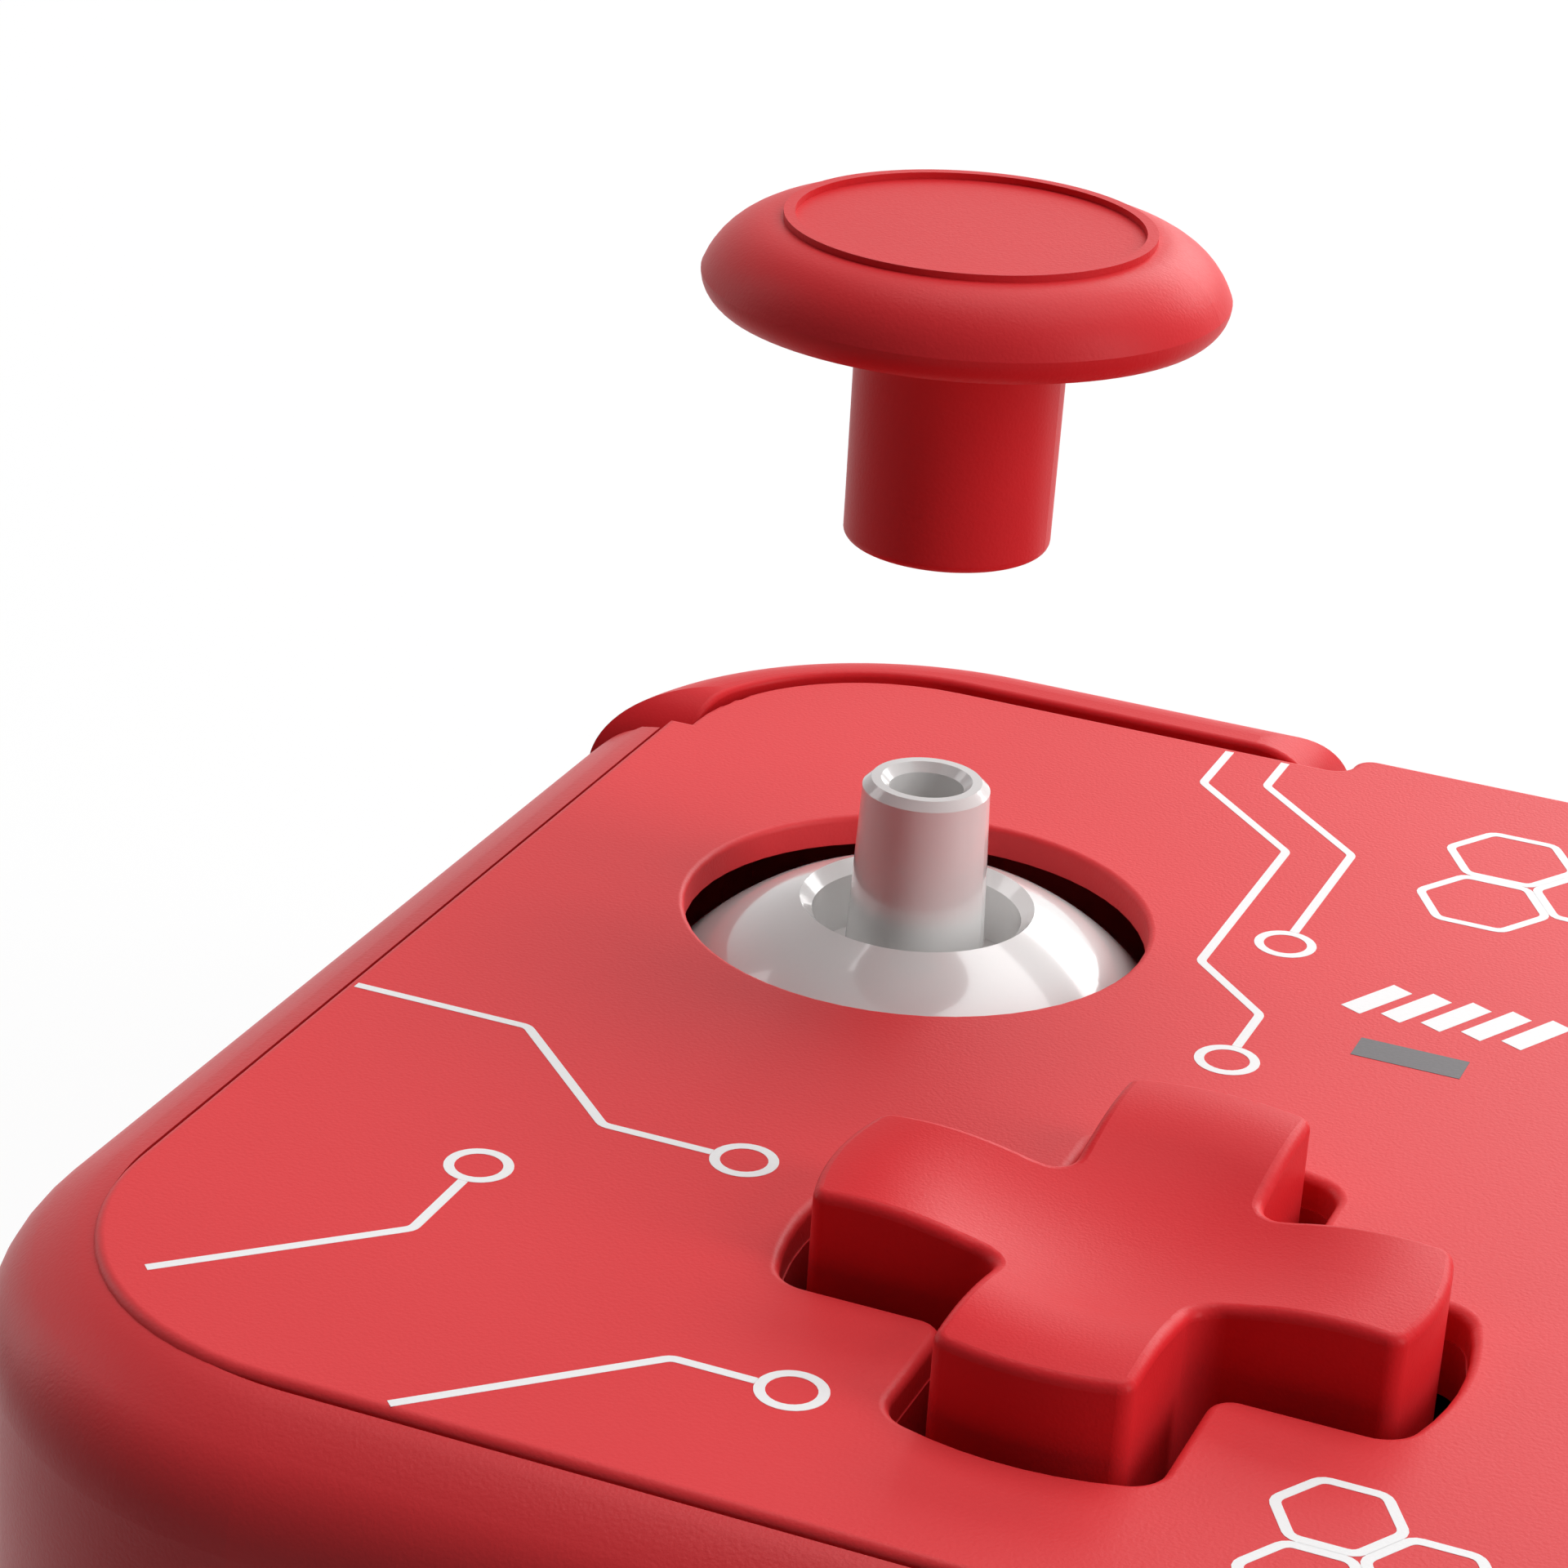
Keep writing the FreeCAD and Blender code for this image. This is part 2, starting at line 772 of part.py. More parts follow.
def make_front_shell():
    """Upper housing: rounded rim, skin under the plate, niches for bumpers and triggers, bosses."""
    body = new_body("front_shell")
    base = rounded_box(0, 0, S.body_width, S.body_depth, S.body_corner)
    pad(body, draw(body, "XY", S.parting_height, [base]), bumper_shelf() - S.parting_height)
    upper = notched_front(S.half_width, -S.half_depth, S.body_corner, S.half_depth)
    pad(body, draw(body, "XY", bumper_shelf(), [upper]), RIM - bumper_shelf())

    def on_rim(edge):
        box = edge.BoundBox
        front_half = box.YMax < float(S.bumper_arc_y)
        outside = max(box.XMax, -box.XMin) > float(S.half_width) - NEAR
        ahead = front_half and (outside or box.YMin < NEAR - float(S.half_depth))
        return level_at(RIM)(edge) and (ahead or box.YMin > float(S.half_depth) - NEAR)

    def on_seam(edge):
        box = edge.BoundBox
        outside = max(box.XMax, -box.XMin) > float(S.half_width - S.body_corner) - NEAR
        ends = max(box.YMax, -box.YMin) > float(S.half_depth) - NEAR
        return level_at(S.parting_height)(edge) and (outside or ends)

    def along_jog(edge):
        box = edge.BoundBox
        jog = float(S.bumper_arc_y - S.bumper_gap)
        flat = abs(box.YMin - jog) < NEAR and abs(box.YMax - jog) < NEAR
        return level_at(RIM)(edge) and flat

    dress(body, "Fillet", S.rim_round, lambda edge: on_rim(edge) and not along_jog(edge))
    dress(body, "Chamfer", S.seam_chamfer, on_seam)
    make_shell_hollows(body)
    make_shell_bosses(body)


def make_shell_hollows(body):
    """Cut the plate's seat, the cavity, the niches and the control holes of the front shell."""
    seat_x = S.half_width - S.plate_margin + S.plate_gap
    seat_front = S.plate_margin - S.plate_gap - S.half_depth
    seat_back = S.half_depth - S.plate_back_margin + S.plate_gap
    seat_corner = S.plate_corner + S.plate_gap
    seat = [
        (seat_corner - seat_x, seat_front, seat_corner, 1),
        (seat_x - seat_corner, seat_front),
        (seat_x, seat_front + seat_corner, seat_corner, 1),
        (seat_x, seat_back),
        (-seat_x, seat_back),
        (-seat_x, seat_front + seat_corner),
    ]
    cut(body, draw(body, "XY", PLATE_SEAT, [seat]), S.plate_thickness)
    cut(body, draw(body, "XY", S.parting_height, [cavity_path()]), CEILING - S.parting_height)
    for side in (LEFT, RIGHT):
        make_niche(body, side)
    reach, half = S.well_reach - S.skin_step, S.well_half - S.skin_step
    cut(body, draw(body, "XY", CEILING, [cross_path(*PAD, reach, half)]), S.skin)
    inner, outer = cross_corners(*PAD, reach, half)
    dress(body, "Fillet", S.well_inner_round, upright_at(inner))
    dress(body, "Fillet", S.well_outer_round, upright_at(outer))
    cut(body, draw(body, "XY", CEILING, circles=control_holes(S.skin_clear)), S.skin)


def make_niche(body, side):
    """Cut one trigger's niche, the room for its bumper above the shelf, and a pocket in the corner."""
    jog = S.bumper_arc_y - S.bumper_gap
    niche = box_path(side * S.niche_end_x, S.niche_front, side * S.niche_side_x, S.body_depth)
    cut(body, draw(body, "XY", NICHE_BOTTOM, [niche]), CEILING - NICHE_BOTTOM)
    room = [
        (side * S.niche_end_x, S.niche_front),
        (side * S.niche_side_x, S.niche_front),
        (side * S.niche_side_x, jog),
        (side * S.body_width, jog),
        (side * S.body_width, S.body_depth),
        (side * S.niche_end_x, S.body_depth),
    ]
    cut(body, draw(body, "XY", bumper_shelf(), [room]), CEILING - bumper_shelf())
    inner, outer = S.niche_side_x + S.niche_wall, S.half_width - S.wall
    corner = S.body_corner - S.wall
    bend_x, bend_y = S.half_width - S.body_corner, S.half_depth - S.body_corner
    top = bend_y + root(corner * corner - (inner - bend_x) * (inner - bend_x))
    pocket = [
        (side * inner, bend_y - S.wall),
        (side * outer, bend_y - S.wall),
        (side * outer, bend_y),
        (side * inner, top, corner, side),
    ]
    depth = bumper_shelf() - S.niche_wall - S.parting_height
    cut(body, draw(body, "XY", S.parting_height, [pocket]), depth)


def cavity_path():
    """Inside of the front shell, kept one wall off the outside and off the niches."""
    x, front, back = S.half_width - S.wall, S.wall - S.half_depth, S.half_depth - S.wall
    corner = S.body_corner - S.wall
    jog = S.bumper_arc_y - S.bumper_gap - S.niche_wall
    side = S.niche_side_x - S.niche_wall
    end = S.niche_end_x - S.niche_wall
    inner = S.niche_front - S.niche_wall
    return [
        (corner - x, front, corner, 1),
        (x - corner, front),
        (x, front + corner, corner, 1),
        (x, jog),
        (side, jog),
        (side, inner),
        (end, inner),
        (end, back),
        (-end, back),
        (-end, inner),
        (-side, inner),
        (-side, jog),
        (-x, jog),
        (-x, front + corner),
    ]


def make_shell_bosses(body):
    """Add the front shell's screw bosses and bumper pins, with the bores for screws and trigger pins."""
    bosses = [(x, y, S.boss_radius) for x, y in CASE_BOSSES]
    pad(body, draw(body, "XY", S.parting_height, circles=bosses), CEILING - S.parting_height)
    pilots = [(x, y, S.screw_radius + S.thread_fit) for x, y in CASE_BOSSES]
    cut(body, draw(body, "XY", S.parting_height, circles=pilots), S.screw_bite + S.wall)
    posts = [(x, y, S.standoff_radius) for x, y in BOARD_BOSSES]
    pad(body, draw(body, "XY", S.button_board_top, circles=posts), CEILING - S.button_board_top)
    pilots = [(x, y, S.board_screw_radius + S.thread_fit) for x, y in BOARD_BOSSES]
    cut(body, draw(body, "XY", S.button_board_top, circles=pilots), S.board_screw_bite + S.thread_fit)
    pins = [(side * S.lug_pivot_x, S.lug_pivot_y, S.lug_pin) for side in (LEFT, RIGHT)]
    pin_foot = CEILING - S.lug_gap - S.lug_thickness - S.lug_gap
    pad(body, draw(body, "XY", pin_foot, circles=pins), CEILING - pin_foot)
    for side in (LEFT, RIGHT):
        bore = (S.trigger_pivot_y, S.trigger_pivot_z, S.trigger_pin + S.thread_fit)
        start = side * (S.niche_end_x - S.niche_wall)
        length = S.niche_side_x - S.niche_end_x + S.niche_wall * 1.5
        cut(body, draw(body, "YZ", start, circles=[bore]), length, ahead=side == RIGHT)


def make_back_shell():
    """Lower housing: tray with screw bosses, board standoffs, motor saddles and the socket's mouth."""
    body = new_body("back_shell")
    outline = rounded_box(0, 0, S.body_width, S.body_depth, S.body_corner)
    pad(body, draw(body, "XY", 0, [outline]), S.parting_height)
    dress(body, "Fillet", S.base_round, level_at(0))
    dress(body, "Chamfer", S.seam_chamfer, level_at(S.parting_height))
    inside = rounded_box(
        0, 0, S.body_width - 2 * S.wall, S.body_depth - 2 * S.wall, S.body_corner - S.wall
    )
    depth = S.parting_height - S.floor_thickness
    cut(body, draw(body, "XY", S.floor_thickness, [inside]), depth)
    bosses = [(x, y, S.boss_radius) for x, y in CASE_BOSSES]
    pad(body, draw(body, "XY", S.floor_thickness, circles=bosses), depth)
    holes = [(x, y, S.screw_radius + S.screw_fit) for x, y in CASE_BOSSES]
    cut(body, draw(body, "XY", 0, circles=holes), S.parting_height)
    wells = [(x, y, S.screw_head_radius + S.screw_fit) for x, y in CASE_BOSSES]
    cut(body, draw(body, "XY", 0, circles=wells), S.head_depth)
    legs = [(x, y, S.standoff_radius) for x, y in STANDOFFS]
    rise = S.main_board_top - S.board_thickness - S.floor_thickness
    pad(body, draw(body, "XY", S.floor_thickness, circles=legs), rise)
    pilots = [(x, y, S.board_screw_radius + S.thread_fit) for x, y in STANDOFFS]
    top = S.floor_thickness + rise
    cut(body, draw(body, "XY", top, circles=pilots), S.board_screw_bite + S.thread_fit, ahead=False)
    for side in (LEFT, RIGHT):
        make_saddles(body, side)
    mouth = rounded_box(
        0,
        S.main_board_top + S.socket_height / 2,
        S.socket_width + 2 * S.socket_room,
        S.socket_height + 2 * S.socket_room,
        S.socket_height / 2,
    )
    cut(body, draw(body, "XZ", S.half_depth, [mouth]), 2 * S.wall)


def make_saddles(body, side):
    """Two ribs with a half-round seat that hold one rumble motor."""
    x = side * S.motor_x
    seat = S.motor_radius + S.running_fit
    ribs = []
    for y in (S.saddle_inset - S.motor_front, S.motor_length - S.motor_front - S.saddle_inset):
        west, east = x - S.saddle_half_width, x + S.saddle_half_width
        ribs.append(box_path(west, y - S.saddle_thickness / 2, east, y + S.saddle_thickness / 2))
    rise = S.motor_height - S.floor_thickness
    pad(body, draw(body, "XY", S.floor_thickness, ribs), rise)
    bed = draw(body, "XZ", -S.motor_front, circles=[(x, S.motor_height, seat)])
    cut(body, bed, S.motor_length, ahead=False)


def make_case_screws():
    """Six self-tapping screws that close the case from the back."""
    body = new_body("case_screws")
    heads = [(x, y, S.screw_head_radius) for x, y in CASE_BOSSES]
    foot = S.head_depth - S.screw_head_height
    pad(body, draw(body, "XY", foot, circles=heads), S.screw_head_height)
    shanks = [(x, y, S.screw_radius) for x, y in CASE_BOSSES]
    length = S.parting_height - S.head_depth + S.screw_bite
    pad(body, draw(body, "XY", S.head_depth, circles=shanks), length)
    cut(body, draw(body, "XY", foot, hexagons(CASE_BOSSES, S.hex_radius)), S.hex_depth)


def make_board_screws():
    """Small screws that hold the main board to the tray and the button board to the front shell."""
    body = new_body("board_screws")
    main = S.main_board_top
    pad(
        body,
        draw(body, "XY", main, circles=[(x, y, S.board_screw_head) for x, y in STANDOFFS]),
        S.board_screw_head_height,
    )
    shank = S.board_thickness + S.board_screw_bite
    shanks = [(x, y, S.board_screw_radius) for x, y in STANDOFFS]
    pad(body, draw(body, "XY", main, circles=shanks), shank, back=True)
    under = S.button_board_top - S.board_thickness
    heads = [(x, y, S.board_screw_head) for x, y in BOARD_BOSSES]
    pad(body, draw(body, "XY", under, circles=heads), S.board_screw_head_height, back=True)
    shanks = [(x, y, S.board_screw_radius) for x, y in BOARD_BOSSES]
    pad(body, draw(body, "XY", under, circles=shanks), shank)


# Boards and power

def make_main_board():
    """Board that carries both stick modules, the battery and the charging socket."""
    body = new_body("main_board")
    wide, narrow = S.main_half_width, S.main_front_half_width
    tongue_back = S.half_depth - S.wall - S.board_edge_gap
    outline = [
        (-narrow, -S.main_end),
        (narrow, -S.main_end),
        (narrow, -S.main_step),
        (wide, -S.main_step),
        (wide, S.main_end),
        (S.main_tongue, S.main_end),
        (S.main_tongue, tongue_back),
        (-S.main_tongue, tongue_back),
        (-S.main_tongue, S.main_end),
        (-wide, S.main_end),
        (-wide, -S.main_step),
        (-narrow, -S.main_step),
    ]
    holes = [(x, y, S.board_screw_radius + S.screw_fit) for x, y in STANDOFFS]
    foot = S.main_board_top - S.board_thickness
    pad(body, draw(body, "XY", foot, [outline], holes), S.board_thickness)


def make_button_board():
    """Upper board under the D-pad, menu buttons and face buttons, cut round both stick domes."""
    body = new_body("button_board")
    room = S.dome_radius + S.board_edge_gap
    front = -(S.half_depth - S.boss_edge_inset - S.boss_radius - S.board_edge_gap)
    west = -(S.stick_x - 2 * S.dome_base / 2)
    back = S.niche_front - S.niche_wall - S.board_edge_gap
    jog = S.bumper_arc_y - S.bumper_gap - S.niche_wall - S.board_edge_gap
    side = S.niche_side_x - S.niche_wall - S.board_edge_gap
    east = S.half_width - S.wall - 4 * S.board_edge_gap
    middle = S.pad_x - room
    step = S.boss_radius + S.board_edge_gap - S.boss_side_y
    outline = [
        (west, front),
        (middle, front),
        (middle, step),
        (east, step),
        (east, jog),
        (side, jog),
        (side, back),
        (-middle, back),
        (-middle, step),
        (west, step),
    ]
    foot = S.button_board_top - S.board_thickness
    holes = [(x, y, S.board_screw_radius + S.screw_fit) for x, y in BOARD_BOSSES]
    pad(body, draw(body, "XY", foot, [outline], holes), S.board_thickness)
    rooms = [(x, y, room) for x, y in (LEFT_STICK, RIGHT_STICK)]
    cut(body, draw(body, "XY", foot, circles=rooms), S.board_thickness)


def make_battery():
    """Flat pouch cell glued on the main board."""
    body = new_body("battery")
    outline = rounded_box(0, -S.battery_y, S.battery_width, S.battery_depth, S.battery_round)
    foot = S.main_board_top + S.glue_gap
    pad(body, draw(body, "XY", foot, [outline]), S.battery_height)
    dress(body, "Fillet", S.battery_round / 2, level_at(foot + S.battery_height))


def make_usb_port():
    """Charging socket: obround tube with a closed back and a contact tongue."""
    body = new_body("usb_port")
    back = S.half_depth - S.socket_inset
    z = S.main_board_top + S.socket_height / 2
    corner = S.socket_height / 2 - S.socket_skin / 2
    tube = rounded_box(0, z, S.socket_width, S.socket_height, corner)
    pad(body, draw(body, "XZ", back, [tube]), S.socket_length)
    hollow = rounded_box(
        0,
        z,
        S.socket_width - 2 * S.socket_skin,
        S.socket_height - 2 * S.socket_skin,
        corner - S.socket_skin,
    )
    cut(body, draw(body, "XZ", back, [hollow]), S.socket_length - S.socket_back, ahead=True)
    half_width, half_height = S.socket_tongue_width / 2, S.socket_tongue_height / 2
    tongue = box_path(-half_width, z - half_height, half_width, z + half_height)
    foot = back - S.socket_length + S.socket_back / 2
    reach = S.socket_tongue_length + S.socket_back / 2
    pad(body, draw(body, "XZ", foot, [tongue]), reach, back=True)


# Membranes

def make_membrane(label, outline, holes, spots, top):
    """Rubber sheet on the button board with a dome under each spot."""
    body = new_body(label)
    loops = [outline] if outline else []
    pad(body, draw(body, "XY", S.button_board_top, loops, holes), S.membrane)
    foot = S.button_board_top + S.membrane
    domes = [(x, y, S.dome_base) for x, y in spots]
    pad(body, draw(body, "XY", foot, circles=domes), top - foot, draft=-S.dome_taper_angle)


def make_membranes():
    """One membrane each for the D-pad, the face buttons and the menu buttons."""
    x, y = PAD
    reach = S.pad_dome_reach
    spots = [(x + reach, y), (x - reach, y), (x, y + reach), (x, y - reach)]
    sheet = [(x, y, S.pad_membrane_radius), (x, y, S.pad_membrane_hole)]
    make_membrane("dpad_membrane", None, sheet, spots, rocker_bottom() - S.membrane_gap)
    x, y = BUTTONS
    sheet = [(x, y, S.button_ring + S.button_membrane_lap)]
    top = button_bottom() - S.membrane_gap
    make_membrane("button_membrane", None, sheet, list(FACE_BUTTONS.values()), top)
    margin = S.menu_membrane_margin
    sheet = rounded_box(
        0,
        (S.menu_outer_y + S.menu_inner_y) / 2,
        2 * (S.menu_outer_x + margin),
        S.menu_outer_y - S.menu_inner_y + 2 * margin,
        S.membrane_corner,
    )
    spots = [(x, y) for x, y, r in MENU_BUTTONS.values()]
    make_membrane("menu_membrane", sheet, [], spots, top)


# Directional pad

def rocker_top():
    """Height of the rocker disc's upper face."""
    return CEILING - S.rocker_room


def rocker_bottom():
    """Height of the rocker disc's lower face."""
    return rocker_top() - S.rocker_thickness


def ball_height():
    """Height of the D-pad's pivot."""
    return S.button_board_top + S.pivot_fit + S.pivot_ball


def make_dpad_ball():
    """Ball on the button board on which the D-pad rocks."""
    body = new_body("dpad_pivot_ball", (*PAD, ball_height()))
    radius = S.pivot_ball
    half = [(size(0), -radius), (radius, size(0), radius, 1), (size(0), radius, radius, 1)]
    turn(body, draw(body, "XZ", 0, [half]))


def make_dpad_rocker():
    """Black disc that keeps the cross in its well and seats on the ball."""
    body = new_body("dpad_rocker", (*PAD, ball_height()))
    socket = S.pivot_ball + S.pivot_fit
    top = rocker_top() - ball_height()
    bottom = rocker_bottom() - ball_height()
    rim = S.well_reach + S.rocker_lap
    mouth = root(socket * socket - bottom * bottom)
    profile = [
        (rim, bottom),
        (rim, top),
        (size(0), top),
        (size(0), socket),
        (mouth, bottom, socket, -1),
    ]
    turn(body, draw(body, "XZ", 0, [profile]))


def make_dpad_cross():
    """Four-armed key with a dished top."""
    body = new_body("dpad_cross", (*PAD, rocker_top()))
    reach, half = S.well_reach - S.cross_end_gap, S.well_half - S.cross_side_gap
    face = S.face_height - rocker_top()
    height = face + S.cross_crest + S.cross_edge
    pad(body, draw(body, "XY", 0, [cross_path(size(0), size(0), reach, half)]), height)
    inner, outer = cross_corners(size(0), size(0), reach, half)
    dress(body, "Fillet", S.cross_inner_round, upright_at(inner))
    dress(body, "Fillet", S.cross_corner, upright_at(outer))
    middle, rise = face + S.cross_middle, S.cross_crest - S.cross_middle
    run, share = S.cross_crest_reach, S.cross_hollow_share
    both = (run * run + rise * rise) / (2 * rise)
    roll = both - both * share
    out = reach + S.cross_edge
    end = middle + rise - roll + root(roll * roll - (out - run) * (out - run))
    dish = [
        (size(0), middle),
        (run * share, middle + rise * share, both * share, 1),
        (out, end, roll, -1),
        (out, height + S.cross_edge),
        (size(0), height + S.cross_edge),
    ]
    turn(body, draw(body, "XZ", 0, [dish]), "Groove")
    lowest, seam = float(face), float(run * share)

    def on_top(edge):
        away = [abs(math.hypot(v.X, v.Y) - seam) for v in edge.Vertexes]
        return edge.BoundBox.ZMin > lowest and max(away) > NEAR

    dress(body, "Fillet", S.cross_edge, on_top)


# Buttons

def button_bottom():
    """Height of the lower end of every button's foot."""
    return CEILING - S.flange_gap - S.flange_thickness - S.button_foot_length


def make_button(label, place, radius, rise, edge, foot):
    """Round key with a crowned top, a keeper flange and a foot."""
    body = new_body(label, (place[0], place[1], button_bottom()))
    flange = radius + S.button_flange
    under = S.button_foot_length
    over = under + S.flange_thickness
    shoulder = S.face_height + rise - button_bottom()
    flat = radius - edge
    crown = (flat * flat + S.button_crown * S.button_crown) / (2 * S.button_crown)
    profile = [
        (size(0), size(0)),
        (foot, size(0)),
        (foot, under),
        (flange, under),
        (flange, over),
        (radius, over),
        (radius, shoulder - edge),
        (flat, shoulder, edge, 1),
        (size(0), shoulder + S.button_crown, crown, 1),
    ]
    turn(body, draw(body, "XZ", 0, [profile]))


def make_buttons():
    """Four face buttons and four menu buttons."""
    for label, place in FACE_BUTTONS.items():
        make_button(label, place, S.button_radius, S.button_rise, S.button_edge, S.button_foot)
    for label, (x, y, radius) in MENU_BUTTONS.items():
        make_button(label, (x, y), radius, S.menu_rise, S.menu_edge, S.menu_foot)


# Thumbsticks, each modelled about its pivot

def make_stick(name, place, lift, inward):
    """One thumbstick with its module; the sensor of the X axis lies towards the middle of the pad."""
    spot = (*place, PIVOT)
    make_module(name, spot, inward)
    make_yokes(name, spot)
    make_lever(name, spot)
    make_stick_base(name, spot)
    seat = S.collar_floor + S.cap_seat_gap
    make_cap(name, (*place, PIVOT + seat + lift), seat)


def make_module(name, spot, inward):
    """Module frame with four bearing walls, two angle sensors and the click switch."""
    half, inner = S.module_half, S.module_half - S.module_wall
    foot = S.main_board_top - PIVOT
    frame = new_body(f"{name}_stick_frame", spot)
    pad(frame, draw(frame, "XY", foot, [box_path(-half, -half, half, half)]), S.module_rise - foot)
    hollow = box_path(-inner, -inner, inner, inner)
    depth = S.module_rise - foot - S.module_base
    cut(frame, draw(frame, "XY", foot + S.module_base, [hollow]), depth)
    bearing = [(0, 0, S.yoke_shaft + S.running_fit)]
    for plane in ("XZ", "YZ"):
        cut(frame, draw(frame, plane, 0, circles=bearing), 2 * S.module_half, both=True)
    outer = half + S.sensor_depth
    wide = S.sensor_half_width
    tall = S.module_rise - foot - S.module_base
    sensor = new_body(f"{name}_stick_x_sensor", spot)
    footprint = box_path(inward * half, -wide, inward * outer, wide)
    pad(sensor, draw(sensor, "XY", foot, [footprint]), tall)
    sensor = new_body(f"{name}_stick_y_sensor", spot)
    pad(sensor, draw(sensor, "XY", foot, [box_path(-wide, half, wide, outer)]), tall)
    switch = new_body(f"{name}_stick_switch", spot)
    side = S.click_half
    bed = foot + S.module_base
    pad(switch, draw(switch, "XY", bed, [box_path(-side, -side, side, side)]), S.click_body)
    plunger = [(0, 0, S.click_plunger)]
    top = S.click_body + S.click_plunger_height
    pad(switch, draw(switch, "XY", bed, circles=plunger), top)


def make_yokes(name, spot):
    """Lower yoke on an X shaft, upper yoke arched over it on a Y shaft, and the pivot pin."""
    shaft_end = S.module_half - S.module_wall / 8
    lower = new_body(f"{name}_stick_lower_yoke", spot)
    long, wide, high = S.yoke_half_length, S.yoke_half_width, S.yoke_half_height
    pad(lower, draw(lower, "XY", 0, [box_path(-long, -wide, long, wide)]), 2 * high, both=True)
    shaft = [(0, 0, S.yoke_shaft)]
    pad(lower, draw(lower, "YZ", 0, circles=shaft), 2 * shaft_end, both=True)
    side = S.lever_radius + S.lever_side_gap
    slot = box_path(-S.yoke_slot, -side, S.yoke_slot, side)
    cut(lower, draw(lower, "XY", 0, [slot]), 4 * high, both=True)
    pin_hole = [(0, 0, S.pin_radius + S.running_fit)]
    cut(lower, draw(lower, "XZ", 0, circles=pin_hole), 4 * wide, both=True)

    pin = new_body(f"{name}_stick_pivot_pin", spot)
    length = 2 * (wide - S.lever_side_gap)
    pad(pin, draw(pin, "XZ", 0, circles=[(0, 0, S.pin_radius)]), length, both=True)

    upper = new_body(f"{name}_stick_upper_yoke", spot)
    inner, outer = S.arch_inner, S.arch_inner + S.arch_wall
    low = -S.yoke_shaft
    arch = [
        (outer, low),
        (outer, size(0)),
        (size(0), outer, outer, 1),
        (-outer, size(0), outer, 1),
        (-outer, low),
        (-inner, low),
        (-inner, size(0)),
        (size(0), inner, inner, -1),
        (inner, size(0), inner, -1),
        (inner, low),
    ]
    pad(upper, draw(upper, "YZ", 0, [arch]), 2 * S.arch_half_width, both=True)
    for side in (LEFT, RIGHT):
        start = side * (inner + S.arch_wall / 2)
        reach = shaft_end - inner - S.arch_wall / 2
        pad(upper, draw(upper, "XZ", start, circles=shaft), reach, back=side == RIGHT)
    slit = S.lever_radius + S.arch_side_gap
    slot = box_path(-slit, -S.arch_slot, slit, S.arch_slot)
    cut(upper, draw(upper, "XY", 0, [slot]), 2 * outer)


def make_lever(name, spot):
    """Stick lever with a round foot and an upright slot that lets it sink on its pin."""
    lever = new_body(f"{name}_stick_lever", spot)
    radius, foot = S.lever_radius, S.lever_foot
    heel = root(foot * foot - radius * radius)
    profile = [
        (size(0), -foot),
        (radius, -heel, foot, 1),
        (radius, S.lever_top),
        (size(0), S.lever_top),
    ]
    turn(lever, draw(lever, "XZ", 0, [profile]))
    bore = S.pin_radius + S.running_fit
    rise = S.click_travel
    slot = [
        (-bore, size(0)),
        (size(0), -bore, bore, 1),
        (bore, size(0), bore, 1),
        (bore, rise),
        (size(0), rise + bore, bore, 1),
        (-bore, rise, bore, 1),
    ]
    cut(lever, draw(lever, "XZ", 0, [slot]), 4 * radius, both=True)


def make_stick_base(name, spot):
    """White dome and hollow post in one moulding, with a ring-shaped collar for the cap."""
    body = new_body(f"{name}_stick_base", spot)
    outer, inner = S.dome_radius, S.dome_radius - S.dome_wall
    mouth = S.collar_radius + S.collar_chamfer
    mouth_height = root(outer * outer - mouth * mouth)
    cup = S.collar_radius + S.collar_wall
    cup_height = root(inner * inner - cup * cup)
    cup_foot = S.collar_floor - S.collar_floor_thickness
    skirt = S.dome_skirt_angle
    bore = S.lever_radius + S.lever_fit
    tube = bore + S.socket_wall
    roof = S.lever_top + S.lever_fit
    chamfer = S.post_chamfer
    profile = [
        (mouth, mouth_height, outer, 1),
        (S.collar_radius, mouth_height - S.collar_chamfer),
        (S.collar_radius, S.collar_floor),
        (S.post_foot_radius, S.collar_floor),
        (S.post_top_radius, S.post_top - chamfer),
        (S.post_top_radius - chamfer, S.post_top),
        (S.post_bore + chamfer, S.post_top),
        (S.post_bore, S.post_top - chamfer),
        (S.post_bore, S.post_top - S.post_bore_depth),
        (size(0), S.post_top - S.post_bore_depth),
        (size(0), roof),
        (bore, roof),
        (bore, S.socket_foot),
        (tube, S.socket_foot),
        (tube, cup_foot),
        (cup, cup_foot),
        (cup, cup_height),
        (inner * sine(skirt), inner * cosine(skirt), inner, -1),
        (outer * sine(skirt), outer * cosine(skirt)),
    ]
    turn(body, draw(body, "XZ", 0, [profile]))


